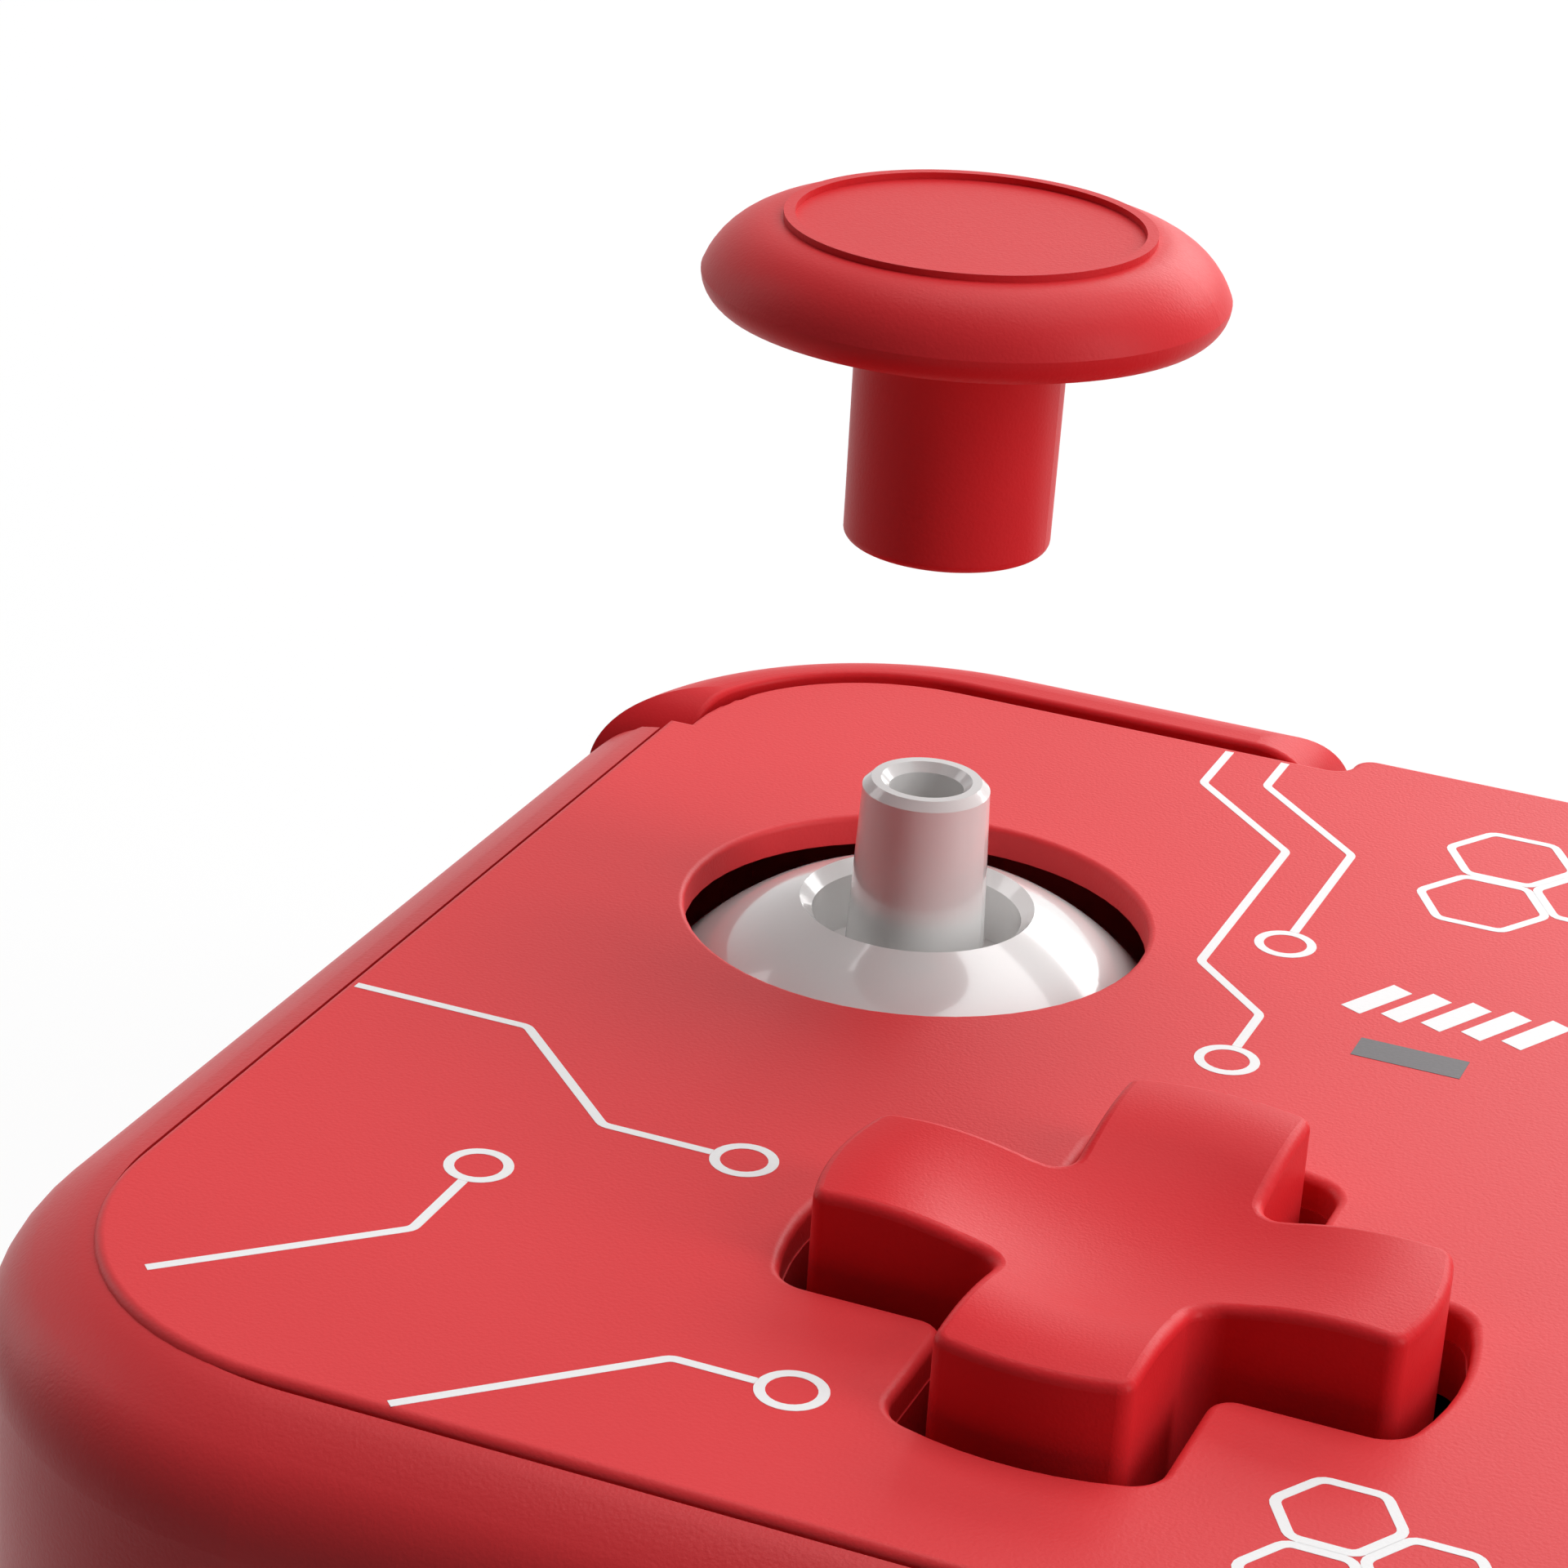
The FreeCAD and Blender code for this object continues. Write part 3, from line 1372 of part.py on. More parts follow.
def make_cap(name, spot, seat):
    """Mushroom cap with a tapered bore for the post and a thin bead round its flat top."""
    body = new_body(f"{name}_stick_cap", spot)
    deep = S.post_top - seat + S.cap_bore_spare
    slope = (S.post_foot_radius - S.post_top_radius) / (S.post_top - S.post_chamfer - S.collar_floor)
    mouth = S.post_foot_radius - slope * S.cap_seat_gap + S.cap_fit
    top = S.post_top_radius + S.cap_fit
    foot_round, under = S.cap_foot_round, S.cap_stem
    rim = under + S.cap_rim
    crown = under + S.cap_height - S.cap_bead_height
    bead = crown + S.cap_bead_height
    bead_in = S.cap_bead_radius - S.cap_bead_width
    edge = S.cap_radius - S.cap_rim / 2
    shoulder_run = S.cap_radius - S.cap_bead_radius
    shoulder_rise = crown - rim
    shoulder = (shoulder_run * shoulder_run + shoulder_rise * shoulder_rise) / (2 * shoulder_rise)
    belly = (S.cap_rim * S.cap_rim + S.cap_rim * S.cap_rim / 4) / S.cap_rim
    profile = [
        (mouth, size(0)),
        (S.cap_foot_radius - foot_round, size(0)),
        (S.cap_foot_radius, foot_round, foot_round, 1),
        (S.cap_neck_radius, under),
        (edge, under),
        (S.cap_radius, rim, belly, 1),
        (S.cap_bead_radius, crown, shoulder, 1),
        (S.cap_bead_radius, bead),
        (bead_in, bead),
        (bead_in, crown),
        (size(0), crown),
        (size(0), deep),
        (top, deep),
    ]
    turn(body, draw(body, "XZ", 0, [profile]))


# Bumpers and triggers

def bumper_start():
    """Distance of a bumper's inner end from the middle of the pad."""
    return S.niche_end_x + S.bumper_end_gap


def bumper_foot():
    """Height of a bumper's lower face."""
    return S.face_height + S.bumper_rise - S.bumper_height


def bumper_shelf():
    """Height of the front shell's corners under the bumpers."""
    return bumper_foot() - S.bumper_shelf_gap


def make_bumper(name, side):
    """Curved key round a back corner, with a pivot lug and a nub for its switch."""
    body = new_body(f"{name}_bumper")
    start = bumper_start()
    inner = S.bumper_arc_y + S.bumper_arc
    outer = S.half_depth + S.bumper_proud
    corner_x = S.half_width - S.body_corner
    corner_y = S.half_depth - S.body_corner
    corner = S.body_corner + S.bumper_proud
    drop = S.bumper_arc_y - corner_y
    end = corner_x + root(corner * corner - drop * drop)
    inner_x = S.bumper_arc_x + S.bumper_arc
    path = [
        (side * start, inner),
        (side * S.bumper_arc_x, inner),
        (side * inner_x, S.bumper_arc_y, S.bumper_arc, -side),
        (side * end, S.bumper_arc_y),
        (side * corner_x, outer, corner, side),
        (side * start, outer),
    ]
    foot = bumper_foot()
    top = foot + S.bumper_height
    pad(body, draw(body, "XY", foot, [path]), S.bumper_height)

    def outside(edge):
        box = edge.BoundBox
        far = box.YMax > float(outer) - NEAR or max(box.XMax, -box.XMin) > float(end) - NEAR
        return level_at(top)(edge) and far and max(box.XLength, box.YLength) > float(S.lug_width)

    def inside(edge):
        box = edge.BoundBox
        return level_at(top)(edge) and box.YMax < float(inner) + NEAR and box.XLength > float(S.lug_width)

    dress(body, "Fillet", S.bumper_round, outside)
    dress(body, "Fillet", S.bumper_edge, inside)
    lug_top = CEILING - S.lug_gap
    lug_foot = lug_top - S.lug_thickness
    pivot = S.lug_pivot_x
    half = S.lug_width / 2
    lug = box_path(
        side * (pivot - half), S.lug_pivot_y - half, side * (pivot + half), inner + half
    )
    nub_half = S.nub_width / 2
    nub = box_path(side * (S.nub_x - nub_half), S.nub_reach, side * (S.nub_x + nub_half), inner)
    pad(body, draw(body, "XY", lug_foot, [lug]), S.lug_thickness)
    pad(body, draw(body, "XY", lug_foot, [nub]), S.lug_thickness)
    bore = (side * pivot, S.lug_pivot_y, S.lug_pin + S.running_fit)
    cut(body, draw(body, "XY", lug_foot, circles=[bore]), S.lug_thickness)


def make_bumper_switch(name, side):
    """Tactile switch on the niche's wall behind a bumper's nub."""
    body = new_body(f"{name}_bumper_switch")
    half = S.switch_width / 2
    top = CEILING - S.lug_gap
    wall = S.niche_front
    case = box_path(side * (S.nub_x - half), wall, side * (S.nub_x + half), wall + S.switch_depth)
    pad(body, draw(body, "XY", top - S.switch_height, [case]), S.switch_height)
    z = top - S.lug_thickness / 2
    plunger = draw(body, "XZ", wall, circles=[(side * S.nub_x, z, S.switch_plunger)])
    pad(body, plunger, S.switch_depth + S.switch_plunger_length, back=True)


def trigger_end_path(side):
    """Region beyond the round outer end of a trigger, which meets the body's corner."""
    reach, end, room = S.trigger_corner, S.trigger_end, S.trigger_tip_reach
    bend_x, bend_y = S.half_width - S.body_corner, S.half_depth - S.body_corner
    end_y = bend_y + root(S.body_corner * S.body_corner - (end - bend_x) * (end - bend_x))
    drop = end_y - S.trigger_tip_y + reach
    middle = end - root(reach * reach - drop * drop)
    far = S.trigger_tip_y + room
    return [
        (side * middle, S.trigger_tip_y, reach, side),
        (side * middle, far),
        (side * (end + room), far),
        (side * (end + room), end_y),
        (side * end, end_y),
    ]


def make_trigger(name, side):
    """Swinging trigger: hub on its pin and a hooked finger piece with a hollowed face."""
    body = new_body(f"{name}_trigger")
    y, z, hub = S.trigger_pivot_y, S.trigger_pivot_z, S.trigger_hub
    lip, tip_round = S.half_depth, S.trigger_tip_round
    finger = [
        (lip - S.trigger_lip, z + hub),
        (lip + S.trigger_lip, S.trigger_top_z),
        (S.trigger_top_y - S.trigger_round, S.trigger_top_z),
        (S.trigger_top_y, S.trigger_top_z - S.trigger_round, S.trigger_round, -1),
        (S.trigger_tip_y, S.trigger_tip_z, S.trigger_hollow, 1),
        (S.trigger_tip_y - 2 * tip_round, S.trigger_tip_z, tip_round, -1),
        (lip + S.trigger_room, z - hub),
    ]
    lever = [(y, z + hub, hub, -1), *finger, (y, z - hub), (y - hub, z, hub, -1)]
    apron_y = y + S.trigger_apron
    apron = [(apron_y, z + hub), *finger, (apron_y, z - hub)]
    inner, start, end = S.niche_end_x + S.trigger_gap, S.trigger_start, S.trigger_end
    low = side * start if side == RIGHT else side * end
    pad(body, draw(body, "YZ", low, [lever]), end - start)
    bore = [(y, z, S.trigger_pin + S.running_fit)]
    cut(body, draw(body, "YZ", low, circles=bore), end - start)
    low = side * inner if side == RIGHT else side * start
    pad(body, draw(body, "YZ", low, [apron]), start - inner)
    foot = S.trigger_tip_z - 2 * tip_round
    cut(body, draw(body, "XY", foot, [trigger_end_path(side)]), S.trigger_top_z - foot + tip_round)


def make_trigger_pin(name, side):
    """Steel pin through the niche's inner wall into the corner."""
    body = new_body(f"{name}_trigger_pin")
    start = S.niche_end_x - S.niche_wall + S.thread_fit
    end = S.niche_side_x + S.niche_wall / 2 - S.thread_fit
    low = side * start if side == RIGHT else side * end
    spot = (S.trigger_pivot_y, S.trigger_pivot_z, S.trigger_pin)
    pad(body, draw(body, "YZ", low, circles=[spot]), end - start)


def make_trigger_spring(name, side):
    """Close-wound torsion spring on the pin, with one leg down to the niche's floor."""
    start = S.niche_end_x + S.spring_fit
    wire = S.spring_wire
    spot = (side * start, S.trigger_pivot_y, S.trigger_pivot_z)
    body = new_body(f"{name}_trigger_spring", spot)
    inner = S.trigger_pin + S.spring_fit
    middle = inner + wire / 2
    turns = int(float(S.spring_turns))
    coils = [(size(0), inner), (side * turns * wire, inner), (side * turns * wire, middle)]
    coils += [(side * n * wire, middle, wire * 0.55, side) for n in reversed(range(turns))]
    turn(body, draw(body, "XY", 0, [coils]), axis="H_Axis")
    leg = [(side * wire / 2, -middle, wire / 2)]
    reach = S.trigger_pivot_z - NICHE_BOTTOM - S.spring_fit
    pad(body, draw(body, "XY", 0, circles=leg), reach, back=True)


def make_trigger_switch(name, side):
    """Flat switch on the niche's floor under a trigger."""
    body = new_body(f"{name}_trigger_switch")
    x = (S.trigger_start + S.trigger_end) / 2
    half_width, half_depth = S.pad_switch_width / 2, S.pad_switch_depth / 2
    y = S.pad_switch_y
    case = box_path(side * (x - half_width), y - half_depth, side * (x + half_width), y + half_depth)
    pad(body, draw(body, "XY", NICHE_BOTTOM, [case]), S.pad_switch_height)
    plunger = [(side * x, y, S.pad_switch_plunger)]
    height = S.pad_switch_height + S.pad_switch_plunger_height
    pad(body, draw(body, "XY", NICHE_BOTTOM, circles=plunger), height)


# Rumble motors

def make_rumble(name, side):
    """Motor can in the tray and the eccentric weight on its shaft."""
    x, z = side * S.motor_x, S.motor_height
    can_end = S.motor_length - S.motor_front
    can = new_body(f"{name}_rumble_motor", (x, -S.motor_front, z))
    pad(can, draw(can, "XZ", 0, circles=[(0, 0, S.motor_radius)]), S.motor_length, back=True)
    bore = [(0, 0, S.motor_shaft + S.running_fit)]
    cut(can, draw(can, "XZ", S.motor_length, circles=bore), S.motor_bore_depth)
    weight = new_body(f"{name}_rumble_weight", (x, can_end, z))
    shaft = [(0, 0, S.motor_shaft)]
    inside = S.motor_bore_depth - S.weight_gap
    length = inside + S.weight_gap + S.weight_length
    pad(weight, draw(weight, "XZ", -inside, circles=shaft), length, back=True)
    radius, hub = S.weight_radius, S.weight_hub
    half_disc = [
        (-radius, size(0)),
        (size(0), -radius, radius, 1),
        (radius, size(0), radius, 1),
        (hub, size(0)),
        (size(0), hub, hub, 1),
        (-hub, size(0), hub, 1),
    ]
    pad(weight, draw(weight, "XZ", S.weight_gap, [half_disc]), S.weight_length, back=True)


def check_parts():
    """Stop if any object failed or a sub-part has no sound solid."""
    failed = [thing.Label for thing in doc.Objects if {"Invalid", "Error"} & set(thing.State)]
    for body in parts:
        shape = body.Shape
        if shape.isNull() or not shape.isValid() or not shape.Solids:
            failed.append(body.Label)
    if failed:
        raise RuntimeError(f"not sound: {failed}")


def main():
    """Build every sub-part and write each one to its own file."""
    make_faceplate()
    make_front_shell()
    make_back_shell()
    make_case_screws()
    make_board_screws()
    make_main_board()
    make_button_board()
    make_battery()
    make_usb_port()
    make_membranes()
    make_dpad_ball()
    make_dpad_rocker()
    make_dpad_cross()
    make_buttons()
    make_stick("left", LEFT_STICK, S.cap_lift, RIGHT)
    make_stick("right", RIGHT_STICK, size(0), LEFT)
    for name, side in (("left", LEFT), ("right", RIGHT)):
        make_bumper(name, side)
        make_bumper_switch(name, side)
        make_trigger(name, side)
        make_trigger_pin(name, side)
        make_trigger_spring(name, side)
        make_trigger_switch(name, side)
        make_rumble(name, side)
    doc.recompute()
    check_parts()
    os.makedirs("parts", exist_ok=True)
    for body in parts:
        body.Shape.exportStep(f"parts/{body.Label}.step")


main()
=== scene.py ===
"""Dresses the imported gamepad: moulded finishes, printed panel lines, studio and camera."""
import json
import logging
import math
from dataclasses import dataclass, field
from enum import Enum

import bmesh
import bpy
from mathutils import Matrix, Vector


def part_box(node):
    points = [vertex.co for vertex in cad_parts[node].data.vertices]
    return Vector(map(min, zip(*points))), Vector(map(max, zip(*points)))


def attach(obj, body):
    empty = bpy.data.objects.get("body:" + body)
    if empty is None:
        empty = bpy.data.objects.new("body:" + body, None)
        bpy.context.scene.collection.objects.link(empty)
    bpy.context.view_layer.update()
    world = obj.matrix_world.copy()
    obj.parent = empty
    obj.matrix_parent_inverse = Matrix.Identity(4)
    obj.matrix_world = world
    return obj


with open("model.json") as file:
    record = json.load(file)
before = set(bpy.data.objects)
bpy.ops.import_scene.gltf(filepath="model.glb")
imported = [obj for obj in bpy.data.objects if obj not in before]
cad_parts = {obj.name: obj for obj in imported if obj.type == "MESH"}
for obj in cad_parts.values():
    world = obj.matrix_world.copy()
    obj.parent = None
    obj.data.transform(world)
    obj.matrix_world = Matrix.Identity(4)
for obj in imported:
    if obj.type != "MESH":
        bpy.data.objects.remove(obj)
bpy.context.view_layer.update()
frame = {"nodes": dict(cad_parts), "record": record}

log = logging.getLogger("gamepad")

Point = tuple[float, float]
Place = tuple[float, float, float]
Colour = tuple[float, float, float]
Plug = bpy.types.NodeSocket

MM = 0.001
SHARP_ANGLE = math.radians(35.0)

# Sockets of a colour mix go by number, because their names repeat
MIX_FIRST = 6
MIX_SECOND = 7
MIX_RESULT = 2

WHITE: Colour = (1.0, 1.0, 1.0)


class Tree(Enum):
    """Kinds of node tree."""

    SHADER = "ShaderNodeTree"
    SHAPE = "GeometryNodeTree"


class Socket(Enum):
    """Kinds of node-group socket."""

    VALUE = "NodeSocketFloat"
    COLOUR = "NodeSocketColor"
    VECTOR = "NodeSocketVector"
    SHAPE = "NodeSocketGeometry"
    FINISH = "NodeSocketMaterial"


class Group(Enum):
    """Shader effects that several finishes share."""

    GRAIN = "moulded_grain"
    MOTTLE = "soft_mottle"


class Profile(Enum):
    """How a sweep's four-cornered profile is given."""

    RECTANGLE = "RECTANGLE"
    POINTS = "POINTS"

    def sockets(self) -> dict[str, Socket]:
        """Name the inputs that give the profile.

        Returns:
            Each input's name and kind.
        """
        if self is Profile.RECTANGLE:
            return {"Width": Socket.VALUE, "Height": Socket.VALUE}
        return {f"Point {number}": Socket.VECTOR for number in range(1, 5)}


# Node helpers


@dataclass
class Wiring:
    """A node tree with short ways to add, set and join nodes."""

    tree: bpy.types.NodeTree

    @classmethod
    def group(cls, kind: Tree, name: str, takes: dict[str, Socket], gives: dict[str, Socket]) -> "Wiring":
        """Start a node group.

        Args:
            kind: What the group works on.
            name: The group's name.
            takes: Names and kinds of its inputs.
            gives: Names and kinds of its outputs.

        Returns:
            The group's wiring, with its input and output nodes in place.
        """
        tree = bpy.data.node_groups.new(name, kind.value)
        for way, sockets in (("INPUT", takes), ("OUTPUT", gives)):
            for label, socket in sockets.items():
                tree.interface.new_socket(name=label, in_out=way, socket_type=socket.value)
        wiring = cls(tree)
        wiring.add("NodeGroupInput")
        wiring.add("NodeGroupOutput")
        return wiring

    def ends(self) -> tuple[bpy.types.Node, bpy.types.Node]:
        """Find the group's input and output nodes."""
        return self.tree.nodes["Group Input"], self.tree.nodes["Group Output"]

    def add(self, kind: str, **settings: object) -> bpy.types.Node:
        """Add a node and set its properties.

        Args:
            kind: The node's type name.
            settings: Properties to set on the node.

        Returns:
            The new node.
        """
        node = self.tree.nodes.new(kind)
        for name, value in settings.items():
            setattr(node, name, value)
        return node

    def join(self, start: Plug, end: Plug) -> None:
        """Link an output to an input."""
        self.tree.links.new(start, end)

    def feed(self, end: Plug, value: Plug | Colour | float) -> None:
        """Link an output to an input, or set the input's own value.

        Args:
            end: The input.
            value: An output, a colour, which is made opaque, or a number.
        """
        if isinstance(value, Plug):
            self.join(value, end)
        elif isinstance(value, tuple):
            end.default_value = (*value, 1.0)
        else:
            end.default_value = value

    def fill(self, node: bpy.types.Node, values: dict[str, Plug | Colour | float]) -> None:
        """Feed a node's inputs by name."""
        for label, value in values.items():
            self.feed(node.inputs[label], value)

    def chain(self, start: Plug, *nodes: bpy.types.Node) -> Plug:
        """Join nodes one after another by their first sockets.

        Args:
            start: Output that feeds the first node.
            nodes: The nodes in order.

        Returns:
            The last node's first output.
        """
        for node in nodes:
            self.join(start, node.inputs[0])
            start = node.outputs[0]
        return start

    def calculate(self, operation: str, *terms: Plug | float) -> Plug:
        """Add a math node.

        Args:
            operation: The node's operation.
            terms: What its inputs take, in order.

        Returns:
            The result.
        """
        node = self.add("ShaderNodeMath", operation=operation)
        for end, term in zip(node.inputs, terms):
            self.feed(end, term)
        return node.outputs[0]

    def remap(self, value: Plug, start: Point = (0.0, 1.0), end: Point = (0.0, 1.0)) -> Plug:
        """Map one range of values to another.

        Args:
            value: Output that gives the value.
            start: The range that is read.
            end: The range that is given.

        Returns:
            The mapped value, held to its range.
        """
        node = self.add("ShaderNodeMapRange")
        values = {"Value": value, "From Min": start[0], "From Max": start[1]}
        self.fill(node, values | {"To Min": end[0], "To Max": end[1]})
        return node.outputs[0]

    def blend(self, share: Plug, first: Plug | Colour, second: Plug | Colour) -> Plug:
        """Blend two colours.

        Args:
            share: Output that gives the second colour's share.
            first: The colour at a share of 0.
            second: The colour at a share of 1.

        Returns:
            The blended colour.
        """
        node = self.add("ShaderNodeMix", data_type="RGBA", clamp_factor=True)
        self.join(share, node.inputs["Factor"])
        self.feed(node.inputs[MIX_FIRST], first)
        self.feed(node.inputs[MIX_SECOND], second)
        return node.outputs[MIX_RESULT]

    def noise(self, at: Plug, scale: Plug, detail: float) -> Plug:
        """Add a noise texture.

        Args:
            at: Output that gives the coordinates.
            scale: Output that gives the scale, per metre.
            detail: Number of octaves.

        Returns:
            The noise.
        """
        node = self.add("ShaderNodeTexNoise")
        self.fill(node, {"Vector": at, "Scale": scale, "Detail": detail})
        return node.outputs["Fac"]

    def effect(self, group: Group, values: dict[str, Plug | Colour | float]) -> bpy.types.Node:
        """Place a shared effect.

        Args:
            group: The effect.
            values: What its inputs take.

        Returns:
            The group's node.
        """
        node = self.add("ShaderNodeGroup", node_tree=bpy.data.node_groups[group.value])
        self.fill(node, values)
        return node


# Finishes


@dataclass(frozen=True)
class Drift:
    """One noise of the mottle: the input that scales it, its octaves and the band of it that shows."""

    scale: str
    detail: float
    band: Point


GRAIN_DETAIL = 3.0
NOISE_MIDDLE = 0.5
SLOW_DRIFT = Drift("Scale", 2.0, (0.35, 0.75))
SPECKLE = Drift("Speckle Scale", 1.0, (0.5, 0.9))
SPECKLE_SHARE = 0.35


def build_grain_group() -> None:
    """Fine spark-eroded grain: a height for bump and a roughness that varies with it."""
    wiring = Wiring.group(
        Tree.SHADER,
        Group.GRAIN.value,
        {
            "Coordinates": Socket.VECTOR,
            "Scale": Socket.VALUE,
            "Roughness": Socket.VALUE,
            "Spread": Socket.VALUE,
        },
        {"Height": Socket.VALUE, "Grained Roughness": Socket.VALUE},
    )
    into, out = wiring.ends()
    fine = wiring.noise(into.outputs["Coordinates"], into.outputs["Scale"], GRAIN_DETAIL)
    centred = wiring.calculate("SUBTRACT", fine, NOISE_MIDDLE)
    swing = wiring.calculate("MULTIPLY_ADD", centred, into.outputs["Spread"], into.outputs["Roughness"])
    wiring.fill(out, {"Height": fine, "Grained Roughness": swing})


def build_mottle_group() -> None:
    """Slow drift of colour over a moulding, with a faint fine speckle."""
    wiring = Wiring.group(
        Tree.SHADER,
        Group.MOTTLE.value,
        {
            "Coordinates": Socket.VECTOR,
            "Colour": Socket.COLOUR,
            "Deep": Socket.COLOUR,
            "Scale": Socket.VALUE,
            "Speckle Scale": Socket.VALUE,
        },
        {"Mottled Colour": Socket.COLOUR},
    )
    into, out = wiring.ends()
    slow, speckle = (
        wiring.remap(wiring.noise(into.outputs["Coordinates"], into.outputs[one.scale], one.detail), one.band)
        for one in (SLOW_DRIFT, SPECKLE)
    )
    both = wiring.calculate("MULTIPLY_ADD", speckle, SPECKLE_SHARE, slow)
    mottled = wiring.blend(both, into.outputs["Colour"], into.outputs["Deep"])
    wiring.join(mottled, out.inputs["Mottled Colour"])


@dataclass(frozen=True)
class Finish:
    """A moulded, plated or painted finish.

    Sizes of the patterns are scales per metre; bump depth is in metres.
    """

    name: str
    colour: Colour
    deep: Colour
    roughness: float
    spread: float
    grain: float = 9000.0
    depth: float = 0.00001
    mottle: float = 60.0
    speckle: float = 4000.0
    metal: float = 0.0
    specular: float = 0.5
    coat: float = 0.0
    coat_roughness: float = 0.1

    def material(self) -> bpy.types.Material:
        """Build the finish as a node material, once.

        Returns:
            The material.
        """
        found = bpy.data.materials.get(self.name)
        if found:
            return found
        made = bpy.data.materials.new(self.name)
        made.use_nodes = True
        wiring = Wiring(made.node_tree)
        place = wiring.add("ShaderNodeTexCoord").outputs["Object"]
        mottle = wiring.effect(
            Group.MOTTLE,
            {
                "Coordinates": place,
                "Colour": self.colour,
                "Deep": self.deep,
                "Scale": self.mottle,
                "Speckle Scale": self.speckle,
            },
        )
        grain = wiring.effect(
            Group.GRAIN,
            {
                "Coordinates": place,
                "Scale": self.grain,
                "Roughness": self.roughness,
                "Spread": self.spread,
            },
        )
        bump = wiring.add("ShaderNodeBump")
        wiring.fill(bump, {"Distance": self.depth, "Height": grain.outputs["Height"]})
        wiring.fill(
            made.node_tree.nodes["Principled BSDF"],
            {
                "Base Color": mottle.outputs["Mottled Colour"],
                "Roughness": grain.outputs["Grained Roughness"],
                "Normal": bump.outputs["Normal"],
                "Metallic": self.metal,
                "Specular IOR Level": self.specular,
                "Coat Weight": self.coat,
                "Coat Roughness": self.coat_roughness,
            },
        )
        return made


PLATE_RED = Finish(
    "soft_touch_plate",
    colour=(0.7, 0.036, 0.042),
    deep=(0.67, 0.033, 0.038),
    roughness=0.46,
    spread=0.1,
    grain=7000.0,
    depth=0.000012,
    specular=0.2,
)
SHELL_RED = Finish(
    "soft_touch_shell",
    colour=(0.62, 0.026, 0.032),
    deep=(0.58, 0.024, 0.029),
    roughness=0.38,
    spread=0.1,
    grain=7000.0,
    depth=0.000012,
    specular=0.2,
)
KEY_RED = Finish(
    "moulded_key_red",
    colour=(0.65, 0.022, 0.028),
    deep=(0.61, 0.02, 0.025),
    roughness=0.38,
    spread=0.08,
    depth=0.000008,
    specular=0.1,
)
CAP_RED = Finish(
    "moulded_cap_red",
    colour=(0.66, 0.026, 0.032),
    deep=(0.62, 0.023, 0.028),
    roughness=0.42,
    spread=0.1,
    grain=8000.0,
    specular=0.12,
)
STICK_WHITE = Finish(
    "gloss_white",
    colour=(0.8, 0.79, 0.78),
    deep=(0.77, 0.765, 0.76),
    roughness=0.16,
    spread=0.03,
    grain=3000.0,
    depth=0.000001,
    coat=0.5,
    coat_roughness=0.05,
)
MATTE_BLACK = Finish(
    "matte_black",
    colour=(0.012, 0.012, 0.013),
    deep=(0.018, 0.017, 0.018),
    roughness=0.5,
    spread=0.15,
)
STEEL = Finish(
    "turned_steel",
    colour=(0.56, 0.56, 0.57),
    deep=(0.48, 0.48, 0.5),
    roughness=0.32,
    spread=0.2,
    grain=6000.0,
    depth=0.000004,
    metal=1.0,
)
SOCKET_STEEL = Finish(
    "stamped_steel",
    colour=(0.5, 0.5, 0.52),
    deep=(0.42, 0.42, 0.44),
    roughness=0.36,
    spread=0.2,
    grain=5000.0,
    depth=0.000004,
    metal=1.0,
)
BOARD_GREEN = Finish(
    "solder_mask",
    colour=(0.012, 0.09, 0.035),
    deep=(0.008, 0.06, 0.022),
    roughness=0.3,
    spread=0.1,
    grain=1500.0,
    depth=0.000006,
    coat=0.3,
)
POUCH = Finish(
    "battery_pouch",
    colour=(0.5, 0.51, 0.53),
    deep=(0.44, 0.45, 0.47),
    roughness=0.38,
    spread=0.2,
    grain=900.0,
    depth=0.00002,
)
RUBBER = Finish(
    "membrane_rubber",
    colour=(0.34, 0.34, 0.34),
    deep=(0.29, 0.29, 0.29),
    roughness=0.62,
    spread=0.1,
    grain=5000.0,
)
DARK_INK = Finish(
    "panel_dark_ink",
    colour=(0.07, 0.06, 0.065),
    deep=(0.06, 0.052, 0.056),
    roughness=0.5,
    spread=0.1,
    grain=7000.0,
    depth=0.000004,
)
INK = Finish(
    "panel_ink",
    colour=(0.86, 0.86, 0.86),
    deep=(0.82, 0.82, 0.82),
    roughness=0.5,
    spread=0.1,
    grain=7000.0,
    depth=0.000004,
)

SLOT_FINISH: dict[str, Finish] = {
    "plate_red": PLATE_RED,
    "shell_red": SHELL_RED,
    "key_red": KEY_RED,
    "stick_white": STICK_WHITE,
    "dark_plastic": MATTE_BLACK,
    "steel": STEEL,
    "socket_steel": SOCKET_STEEL,
    "board_green": BOARD_GREEN,
    "battery_silver": POUCH,
    "rubber_grey": RUBBER,
}


# Sweeps


